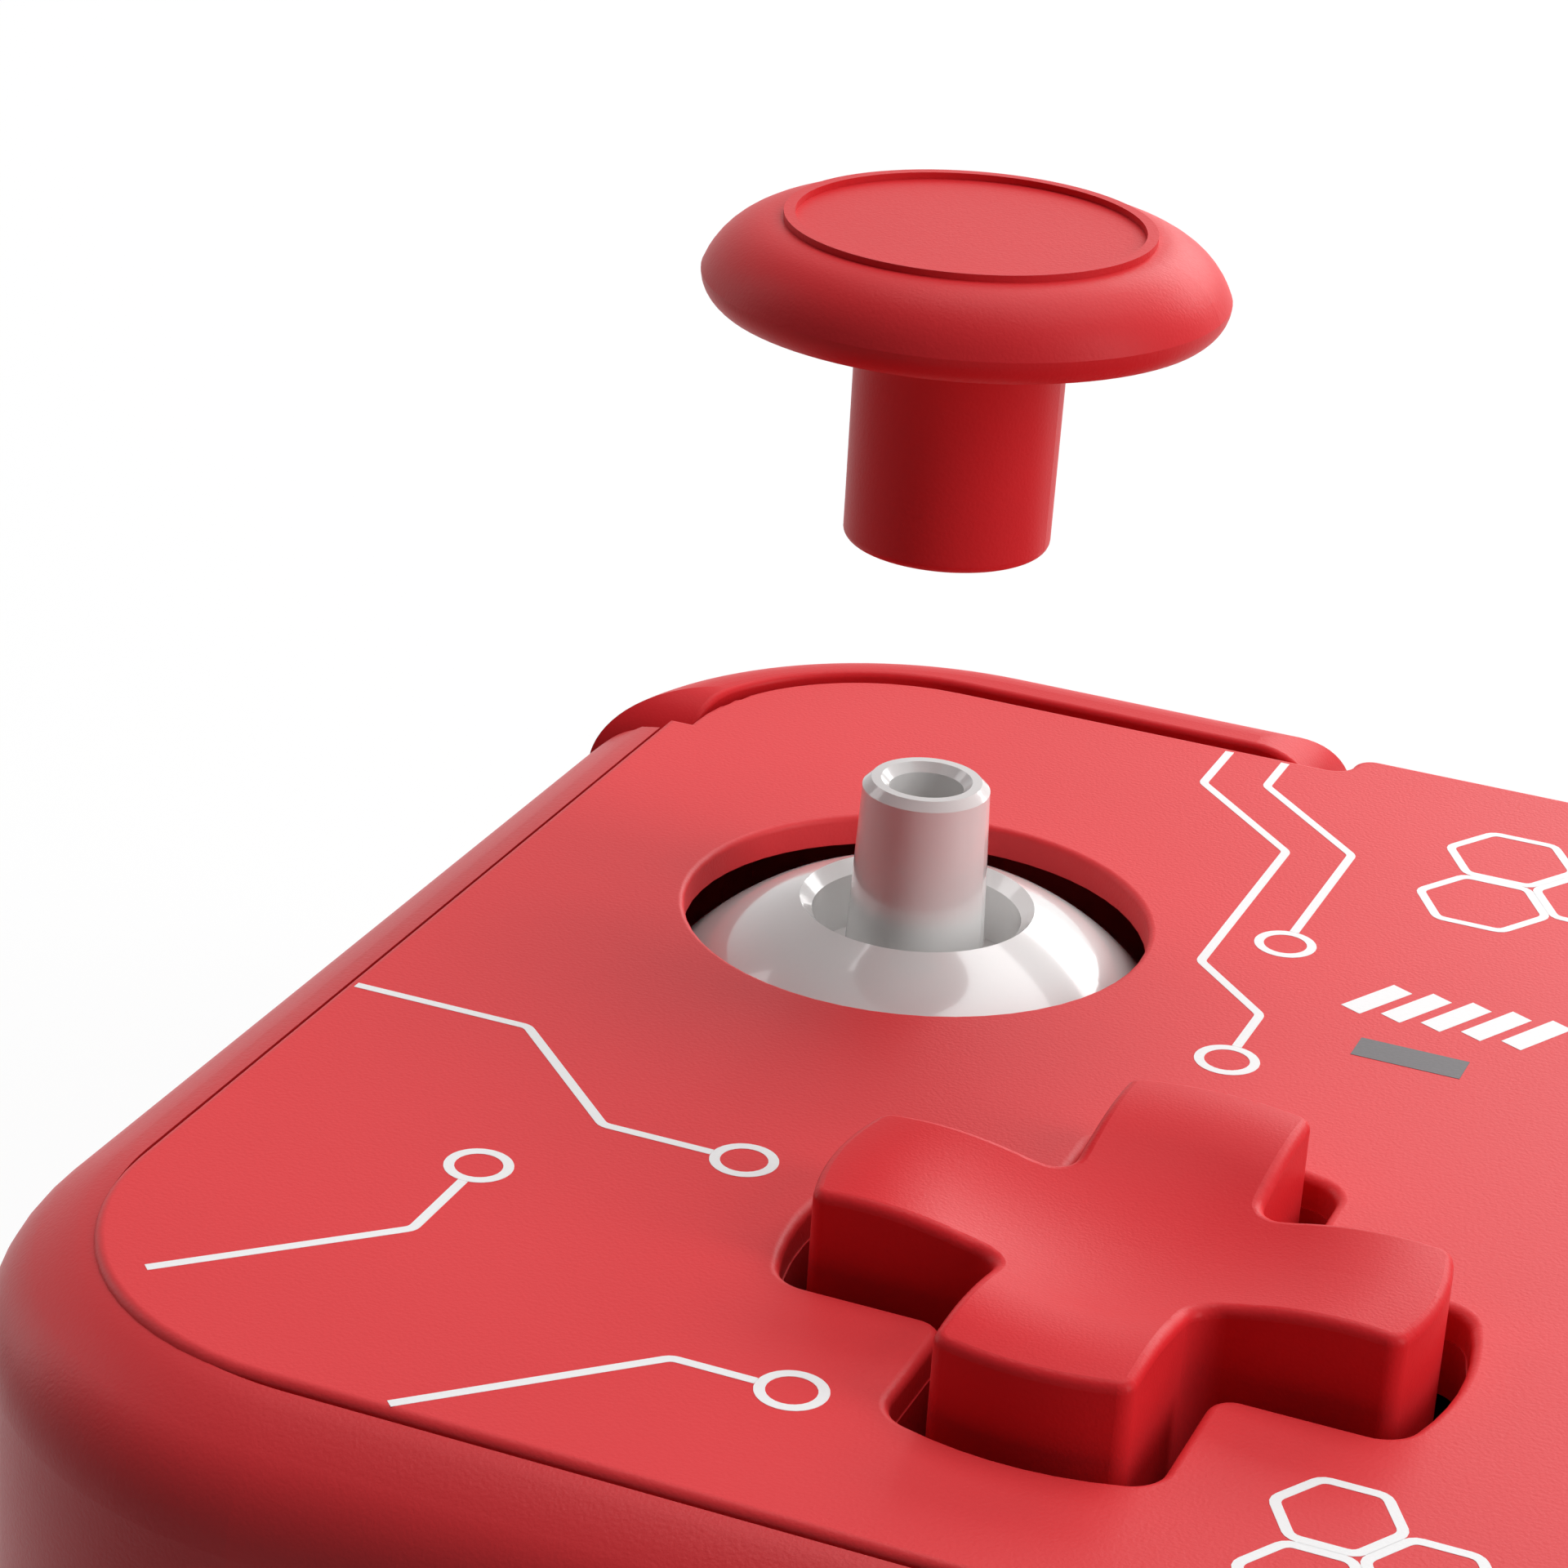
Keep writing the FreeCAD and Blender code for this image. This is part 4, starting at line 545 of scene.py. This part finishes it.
def build_sweep(name: str, profile: Profile, steps: int) -> bpy.types.NodeTree:
    """Build the node tree that sweeps a four-cornered profile along bare edges and rounds their corners.

    Args:
        name: The tree's name.
        profile: How the profile is given.
        steps: Points in each rounded corner.

    Returns:
        The geometry node tree, with inputs for the corner's radius, the profile's sizes and the finish.
    """
    sizes = profile.sockets()
    wiring = Wiring.group(
        Tree.SHAPE,
        name,
        {"Geometry": Socket.SHAPE, "Corner": Socket.VALUE, **sizes, "Finish": Socket.FINISH},
        {"Geometry": Socket.SHAPE},
    )
    into, out = wiring.ends()
    section = wiring.add("GeometryNodeCurvePrimitiveQuadrilateral", mode=profile.value)
    wiring.fill(section, {label: into.outputs[label] for label in sizes})
    fillet = wiring.add("GeometryNodeFilletCurve", mode="POLY")
    wiring.fill(fillet, {"Count": steps, "Radius": into.outputs["Corner"], "Limit Radius": True})
    sweep = wiring.add("GeometryNodeCurveToMesh")
    wiring.fill(sweep, {"Profile Curve": section.outputs["Curve"], "Fill Caps": True})
    paint = wiring.add("GeometryNodeSetMaterial")
    wiring.join(into.outputs["Finish"], paint.inputs["Material"])
    painted = wiring.chain(
        into.outputs["Geometry"],
        wiring.add("GeometryNodeMeshToCurve"),
        fillet,
        wiring.add("GeometryNodeSetCurveNormal", mode="Z_UP"),
        sweep,
        wiring.add("GeometryNodeRealizeInstances"),
        paint,
    )
    wiring.join(painted, out.inputs["Geometry"])
    return wiring.tree


def run_tree(tree: bpy.types.NodeTree, mesh: bpy.types.Mesh, values: dict[str, object]) -> bpy.types.Mesh:
    """Run a geometry node tree over a mesh.

    Args:
        tree: The geometry node tree.
        mesh: What it starts from.
        values: The tree's input names and their values.

    Returns:
        The result as a plain mesh.
    """
    draft = bpy.data.objects.new(f"{mesh.name}_draft", mesh)
    bpy.context.scene.collection.objects.link(draft)
    modifier = draft.modifiers.new("shape", "NODES")
    modifier.node_group = tree
    for item in tree.interface.items_tree:
        if item.in_out == "INPUT" and item.name in values:
            modifier[item.identifier] = values[item.name]
    graph = bpy.context.evaluated_depsgraph_get()
    made = bpy.data.meshes.new_from_object(draft.evaluated_get(graph))
    bpy.data.objects.remove(draft)
    return made


def new_piece(name: str, mesh: bpy.types.Mesh) -> bpy.types.Object:
    """Put a swept mesh in the scene, shaded smooth with its square edges crisp.

    Args:
        name: The piece's name.
        mesh: Its mesh, in place.

    Returns:
        The piece.
    """
    mesh.shade_smooth()
    mesh.set_sharp_from_angle(angle=SHARP_ANGLE)
    piece = bpy.data.objects.new(name, mesh)
    bpy.context.scene.collection.objects.link(piece)
    return piece


# Sub-assemblies


@dataclass
class Mouldings:
    """The solids that keep their own form and only take a finish."""

    own_finish: dict[str, Finish] = field(
        default_factory=lambda: {"left_stick_cap": CAP_RED, "right_stick_cap": CAP_RED}
    )

    def dress(self) -> None:
        """Give every solid the finish of its slot, or its own."""
        for part in frame["record"]["subparts"]:
            node = frame["nodes"][part["node"]]
            finish = self.own_finish.get(part["node"], SLOT_FINISH[part["material_slot"]])
            node.data.materials.clear()
            node.data.materials.append(finish.material())
            log.info("dressed %s in %s", part["node"], finish.name)


@dataclass(frozen=True)
class LipRun:
    """One run of the rim's lip: its corners on the plan and its section, in millimetres.

    The section's points are how far out from the seat's wall, and how far over the rim's top.
    """

    corners: tuple[Point, ...]
    section: tuple[Point, ...]


@dataclass
class RimLip:
    """Low moulded lip of the shell that rises towards the plate's edge.

    Sizes are in millimetres. Each section lists its points above the foot, from the plate outwards.
    """

    margin: float = 3.65
    back_margin: float = 2.65
    corner: float = 11.35
    corner_steps: int = 32
    side_end: float = 21.2
    back_end: float = 42.4
    foot: Point = (0.0, -0.95)
    side_section: tuple[Point, ...] = ((0.0, 0.45), (0.8, 0.31), (2.15, -0.55))
    back_section: tuple[Point, ...] = ((0.0, 0.4), (0.5, 0.25), (1.6, -0.9))
    body: str = "housing"

    def runs(self) -> list[LipRun]:
        """Lay the lip out round the front and sides, and along the back.

        Returns:
            The two runs.
        """
        low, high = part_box("front_shell")
        side = high.x / MM - self.margin
        front = low.y / MM + self.margin
        back = high.y / MM - self.back_margin
        return [
            LipRun(
                ((-side, self.side_end), (-side, front), (side, front), (side, self.side_end)),
                (self.foot, *self.side_section),
            ),
            LipRun(((self.back_end, back), (-self.back_end, back)), (self.foot, *self.back_section)),
        ]

    def sweep(self, tree: bpy.types.NodeTree, run: LipRun, level: float) -> bpy.types.Mesh:
        """Sweep one run.

        Args:
            tree: The sweep's node tree.
            run: The run's plan and section.
            level: Height of the rim's top, in metres.

        Returns:
            The run's mesh.
        """
        path = bpy.data.meshes.new("rim_lip_path")
        links = [(n, n + 1) for n in range(len(run.corners) - 1)]
        path.from_pydata([(x * MM, y * MM, level) for x, y in run.corners], links, [])
        values = {f"Point {n}": (x * MM, -y * MM, 0.0) for n, (x, y) in enumerate(run.section, 1)}
        return run_tree(tree, path, values | {"Corner": self.corner * MM, "Finish": SHELL_RED.material()})

    def build(self) -> None:
        """Sweep every run and join them to one piece on the housing."""
        tree = build_sweep("swept_lip", Profile.POINTS, self.corner_steps)
        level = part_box("front_shell")[1].z
        joined = bmesh.new()
        for run in self.runs():
            swept = self.sweep(tree, run, level)
            joined.from_mesh(swept)
            bpy.data.meshes.remove(swept)
        bmesh.ops.recalc_face_normals(joined, faces=joined.faces)
        mesh = bpy.data.meshes.new("rim_lip")
        joined.to_mesh(mesh)
        joined.free()
        mesh.materials.append(SHELL_RED.material())
        piece = new_piece("rim_lip", mesh)
        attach(piece, self.body)
        log.info("moulded %s with %d faces", piece.name, len(mesh.polygons))


@dataclass(frozen=True)
class Stroke:
    """A printed line through its corner points, in millimetres on the plate."""

    points: tuple[Point, ...]
    closed: bool = False

    @classmethod
    def polygon(cls, x: float, y: float, radius: float, sides: int) -> "Stroke":
        """Make a closed regular polygon about a centre; many sides make a ring."""
        turns = (math.tau * n / sides for n in range(sides))
        return cls(tuple((x + radius * math.cos(t), y + radius * math.sin(t)) for t in turns), True)


@dataclass(frozen=True)
class Layer:
    """Strokes of one width and one ink, printed together."""

    name: str
    width: float
    ink: Finish
    strokes: tuple[Stroke, ...]


@dataclass
class PanelPrint:
    """Thin printed pattern on the faceplate: angled traces with ring ends, hexagons and slanted bars.

    Sizes are in millimetres.
    """

    line: float = 0.36
    bar: float = 0.9
    mark: float = 1.5
    height: float = 0.012
    bend: float = 0.5
    bend_steps: int = 3
    ring: float = 1.0
    ring_sides: int = 24
    cell: float = 2.5
    small_cell: float = 2.0
    cell_gap: float = 0.35
    bar_step: float = 1.5
    bar_lean: float = 1.3
    bar_rise: float = 2.6
    mark_length: float = 4.0
    body: str = "housing"

    def trace(self, *points: Point) -> list[Stroke]:
        """Lay one trace and the ring that closes it.

        Args:
            points: Corners of the trace; the last one is the ring's centre.

        Returns:
            The trace, which stops at the ring's outside, and the ring.
        """
        (x0, y0), (x1, y1) = points[-2:]
        share = 1.0 - (self.ring + self.line / 2) / math.hypot(x1 - x0, y1 - y0)
        stop = (x0 + (x1 - x0) * share, y0 + (y1 - y0) * share)
        return [Stroke((*points[:-1], stop)), Stroke.polygon(x1, y1, self.ring, self.ring_sides)]

    def cells(self, x: float, y: float, side: float) -> list[Stroke]:
        """Lay three hexagons that nest about a centre.

        Args:
            x: The centre's place across the plate.
            y: The centre's place along the plate's depth.
            side: Length of a hexagon's side.

        Returns:
            The hexagons.
        """
        reach = (side * math.sqrt(3.0) + self.cell_gap) / math.sqrt(3.0)
        turns = [math.tau * n / 3 for n in range(3)]
        return [Stroke.polygon(x + reach * math.cos(t), y + reach * math.sin(t), side, 6) for t in turns]

    def slants(self, x: float, y: float, count: int) -> list[Stroke]:
        """Lay a row of slanted bars that starts at a corner."""
        feet = [x + n * self.bar_step for n in range(count)]
        return [Stroke(((foot, y), (foot + self.bar_lean, y + self.bar_rise))) for foot in feet]

    def dash(self, x: float, y: float) -> Stroke:
        """Lay one short bar along the plate."""
        return Stroke(((x, y), (x + self.mark_length, y)))

    def layers(self) -> list[Layer]:
        """Lay the whole pattern out.

        Returns:
            The thin lines, the bars and the dark marks.
        """
        left = [
            *self.trace(
                (-48.5, 30.4), (-48.5, 26.7), (-43.5, 21.7), (-43.5, 10.4), (-40.2, 7.1), (-40.2, 3.0)
            ),
            *self.trace((-46.1, 30.4), (-46.1, 27.7), (-41.1, 22.7), (-41.1, 13.4)),
            *self.trace((-69.8, -6.8), (-63.0, -6.8), (-57.6, -12.2), (-52.4, -12.2)),
            *self.trace((-66.2, -27.8), (-60.0, -21.6), (-60.0, -16.8)),
            *self.trace((-55.8, -31.4), (-49.4, -25.0), (-45.4, -25.0)),
            *self.cells(-34.0, 23.2, self.cell),
            *self.cells(-27.4, -25.8, self.small_cell),
        ]
        right = [
            *self.trace((36.0, 32.1), (36.0, 25.8), (31.0, 20.8), (31.0, 7.8)),
            *self.trace((33.6, 32.1), (33.6, 26.8), (28.6, 21.8), (28.6, 2.2), (24.6, -1.8), (24.6, -5.8)),
            *self.trace((69.8, -10.2), (63.0, -10.2), (57.6, -15.6), (52.4, -15.6)),
            *self.cells(57.5, -25.2, self.cell),
        ]
        bars = [*self.slants(-37.4, 9.2, 5), *self.slants(-6.0, -25.2, 7), *self.slants(40.6, 26.4, 4)]
        marks = [self.dash(-36.4, 6.4), self.dash(-1.8, -28.2)]
        return [
            Layer("panel_lines", self.line, INK, (*left, *right)),
            Layer("panel_bars", self.bar, INK, tuple(bars)),
            Layer("panel_marks", self.mark, DARK_INK, tuple(marks)),
        ]

    def edges(self, layer: Layer) -> bpy.types.Mesh:
        """Lay a layer's strokes out as bare edges on the plate.

        Args:
            layer: The strokes.

        Returns:
            A mesh of edges at the middle of the ink's height.
        """
        spots: list[Place] = []
        links: list[tuple[int, int]] = []
        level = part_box("faceplate")[1].z + self.height / 2 * MM
        for stroke in layer.strokes:
            first, count = len(spots), len(stroke.points)
            spots += [(x * MM, y * MM, level) for x, y in stroke.points]
            runs = count if stroke.closed else count - 1
            links += [(first + n, first + (n + 1) % count) for n in range(runs)]
        mesh = bpy.data.meshes.new(layer.name)
        mesh.from_pydata(spots, links, [])
        return mesh

    def print_layer(self, tree: bpy.types.NodeTree, layer: Layer) -> None:
        """Make one layer a piece on the housing.

        Args:
            tree: The sweep's node tree.
            layer: The strokes and their ink.
        """
        values = {
            "Width": layer.width * MM,
            "Height": self.height * MM,
            "Corner": self.bend * MM,
            "Finish": layer.ink.material(),
        }
        mesh = run_tree(tree, self.edges(layer), values)
        piece = new_piece(layer.name, mesh)
        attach(piece, self.body)
        log.info("printed %s with %d faces", piece.name, len(mesh.polygons))

    def build(self) -> None:
        """Print every layer."""
        tree = build_sweep("printed_line", Profile.RECTANGLE, self.bend_steps)
        for layer in self.layers():
            self.print_layer(tree, layer)


# Studio


def clear_sight(wiring: Wiring) -> Plug:
    """Tell rays that should see the white surround from those that only carry light.

    Args:
        wiring: The tree to add to.

    Returns:
        An output that is 1 for the camera's rays and for those in gloss and through glass.
    """
    path = wiring.add("ShaderNodeLightPath")
    seen = path.outputs["Is Camera Ray"]
    for name in ("Is Glossy Ray", "Is Transmission Ray"):
        seen = wiring.calculate("MAXIMUM", seen, path.outputs[name])
    return seen


@dataclass(frozen=True)
class SoftBox:
    """A rectangular lamp that looks at the lifted cap's side of the pad; metres and watts."""

    name: str
    place: Place
    width: float
    depth: float
    power: float
    target: Place = (-0.04, 0.0, 0.02)

    def build(self) -> None:
        """Hang the lamp."""
        lamp = bpy.data.lights.new(self.name, "AREA")
        lamp.shape = "RECTANGLE"
        lamp.size, lamp.size_y = self.width, self.depth
        lamp.energy = self.power
        holder = bpy.data.objects.new(self.name, lamp)
        holder.location = self.place
        aim = Vector(self.target) - Vector(self.place)
        holder.rotation_euler = aim.to_track_quat("-Z", "Y").to_euler()
        bpy.context.scene.collection.objects.link(holder)


@dataclass
class Studio:
    """Camera, lamps, pale floor and white surround; degrees and metres, with the lens in millimetres."""

    azimuth: float = 21.02
    elevation: float = 23.29
    roll: float = 3.73
    place: Place = (-0.00614, -0.13116, 0.0927)
    lens: float = 99.21
    sensor: float = 36.0
    nearest: float = 0.005
    floor: float = 6.0
    floor_roughness: float = 0.7
    tone: float = 0.95
    bounce: float = 0.25
    glow: float = 0.86
    fade: Point = (0.25, 1.0)
    ambient: float = 0.07
    boxes: tuple[SoftBox, ...] = (
        SoftBox("overhead", (0.05, 0.3, 0.8), width=0.8, depth=0.6, power=5.2),
        SoftBox("back", (0.12, 0.9, 0.42), width=0.7, depth=0.35, power=4.0),
        SoftBox("left_strip", (-0.8, 0.1, 0.3), width=0.2, depth=0.7, power=0.9),
        SoftBox("right_strip", (0.75, 0.0, 0.35), width=0.3, depth=0.8, power=4.2),
    )

    def build(self) -> None:
        """Set the whole studio up."""
        self.set_camera()
        for box in self.boxes:
            box.build()
        self.lay_floor()
        self.light_world()
        bpy.context.scene.view_settings.view_transform = "Standard"

    def set_camera(self) -> None:
        """Place the camera at the photograph's viewing angle."""
        turn, rise, roll = (math.radians(a) for a in (self.azimuth, self.elevation, self.roll))
        back = Vector((math.sin(turn) * math.cos(rise), -math.cos(turn) * math.cos(rise), math.sin(rise)))
        level = Vector((math.cos(turn), math.sin(turn), 0.0))
        over = back.cross(level)
        right = level * math.cos(roll) + over * math.sin(roll)
        up = over * math.cos(roll) - level * math.sin(roll)
        lens = bpy.data.cameras.new("camera")
        lens.sensor_width = self.sensor
        lens.lens = self.lens
        lens.clip_start = self.nearest
        holder = bpy.data.objects.new("camera", lens)
        turned = Matrix((right, up, back)).transposed().to_4x4()
        holder.matrix_world = Matrix.Translation(self.place) @ turned
        bpy.context.scene.collection.objects.link(holder)
        bpy.context.scene.camera = holder

    def floor_paint(self) -> bpy.types.Material:
        """Mix the floor's paint, which glows white for clear sight, the more so the further out it lies.

        Returns:
            The material.
        """
        paint = bpy.data.materials.new("pale_floor")
        paint.use_nodes = True
        wiring = Wiring(paint.node_tree)
        shader = paint.node_tree.nodes["Principled BSDF"]
        seen = clear_sight(wiring)
        tone = wiring.blend(seen, (self.bounce,) * 3, (self.tone,) * 3)
        wiring.fill(shader, {"Roughness": self.floor_roughness, "Base Color": tone})
        away = wiring.add("ShaderNodeVectorMath", operation="LENGTH")
        wiring.join(wiring.add("ShaderNodeTexCoord").outputs["Object"], away.inputs[0])
        glow = wiring.remap(away.outputs["Value"], self.fade, (self.glow, 1.0))
        mix = wiring.add("ShaderNodeMixShader")
        wiring.join(wiring.calculate("MULTIPLY", seen, glow), mix.inputs[0])
        wiring.join(shader.outputs[0], mix.inputs[1])
        wiring.join(wiring.add("ShaderNodeEmission").outputs[0], mix.inputs[2])
        wiring.join(mix.outputs[0], paint.node_tree.nodes["Material Output"].inputs["Surface"])
        return paint

    def lay_floor(self) -> None:
        """Lay a floor that keeps the shadow and shows white to the camera and in gloss and glass."""
        half = self.floor / 2
        mesh = bpy.data.meshes.new("floor")
        corners = [(-half, -half, 0), (half, -half, 0), (half, half, 0), (-half, half, 0)]
        mesh.from_pydata(corners, [], [(0, 1, 2, 3)])
        mesh.materials.append(self.floor_paint())
        floor = bpy.data.objects.new("floor", mesh)
        bpy.context.scene.collection.objects.link(floor)

    def light_world(self) -> None:
        """Show white to the camera, to gloss and through glass, and a soft grey to everything else."""
        world = bpy.data.worlds.new("surround")
        bpy.context.scene.world = world
        world.use_nodes = True
        wiring = Wiring(world.node_tree)
        strength = wiring.remap(clear_sight(wiring), end=(self.ambient, 1.0))
        wiring.fill(world.node_tree.nodes["Background"], {"Color": WHITE, "Strength": strength})


def main() -> None:
    """Build the studio, then each sub-assembly."""
    logging.basicConfig(level=logging.INFO, format="%(name)s: %(message)s")
    Studio().build()
    build_grain_group()
    build_mottle_group()
    Mouldings().dress()
    RimLip().build()
    PanelPrint().build()


if __name__ == "__main__":
    main()
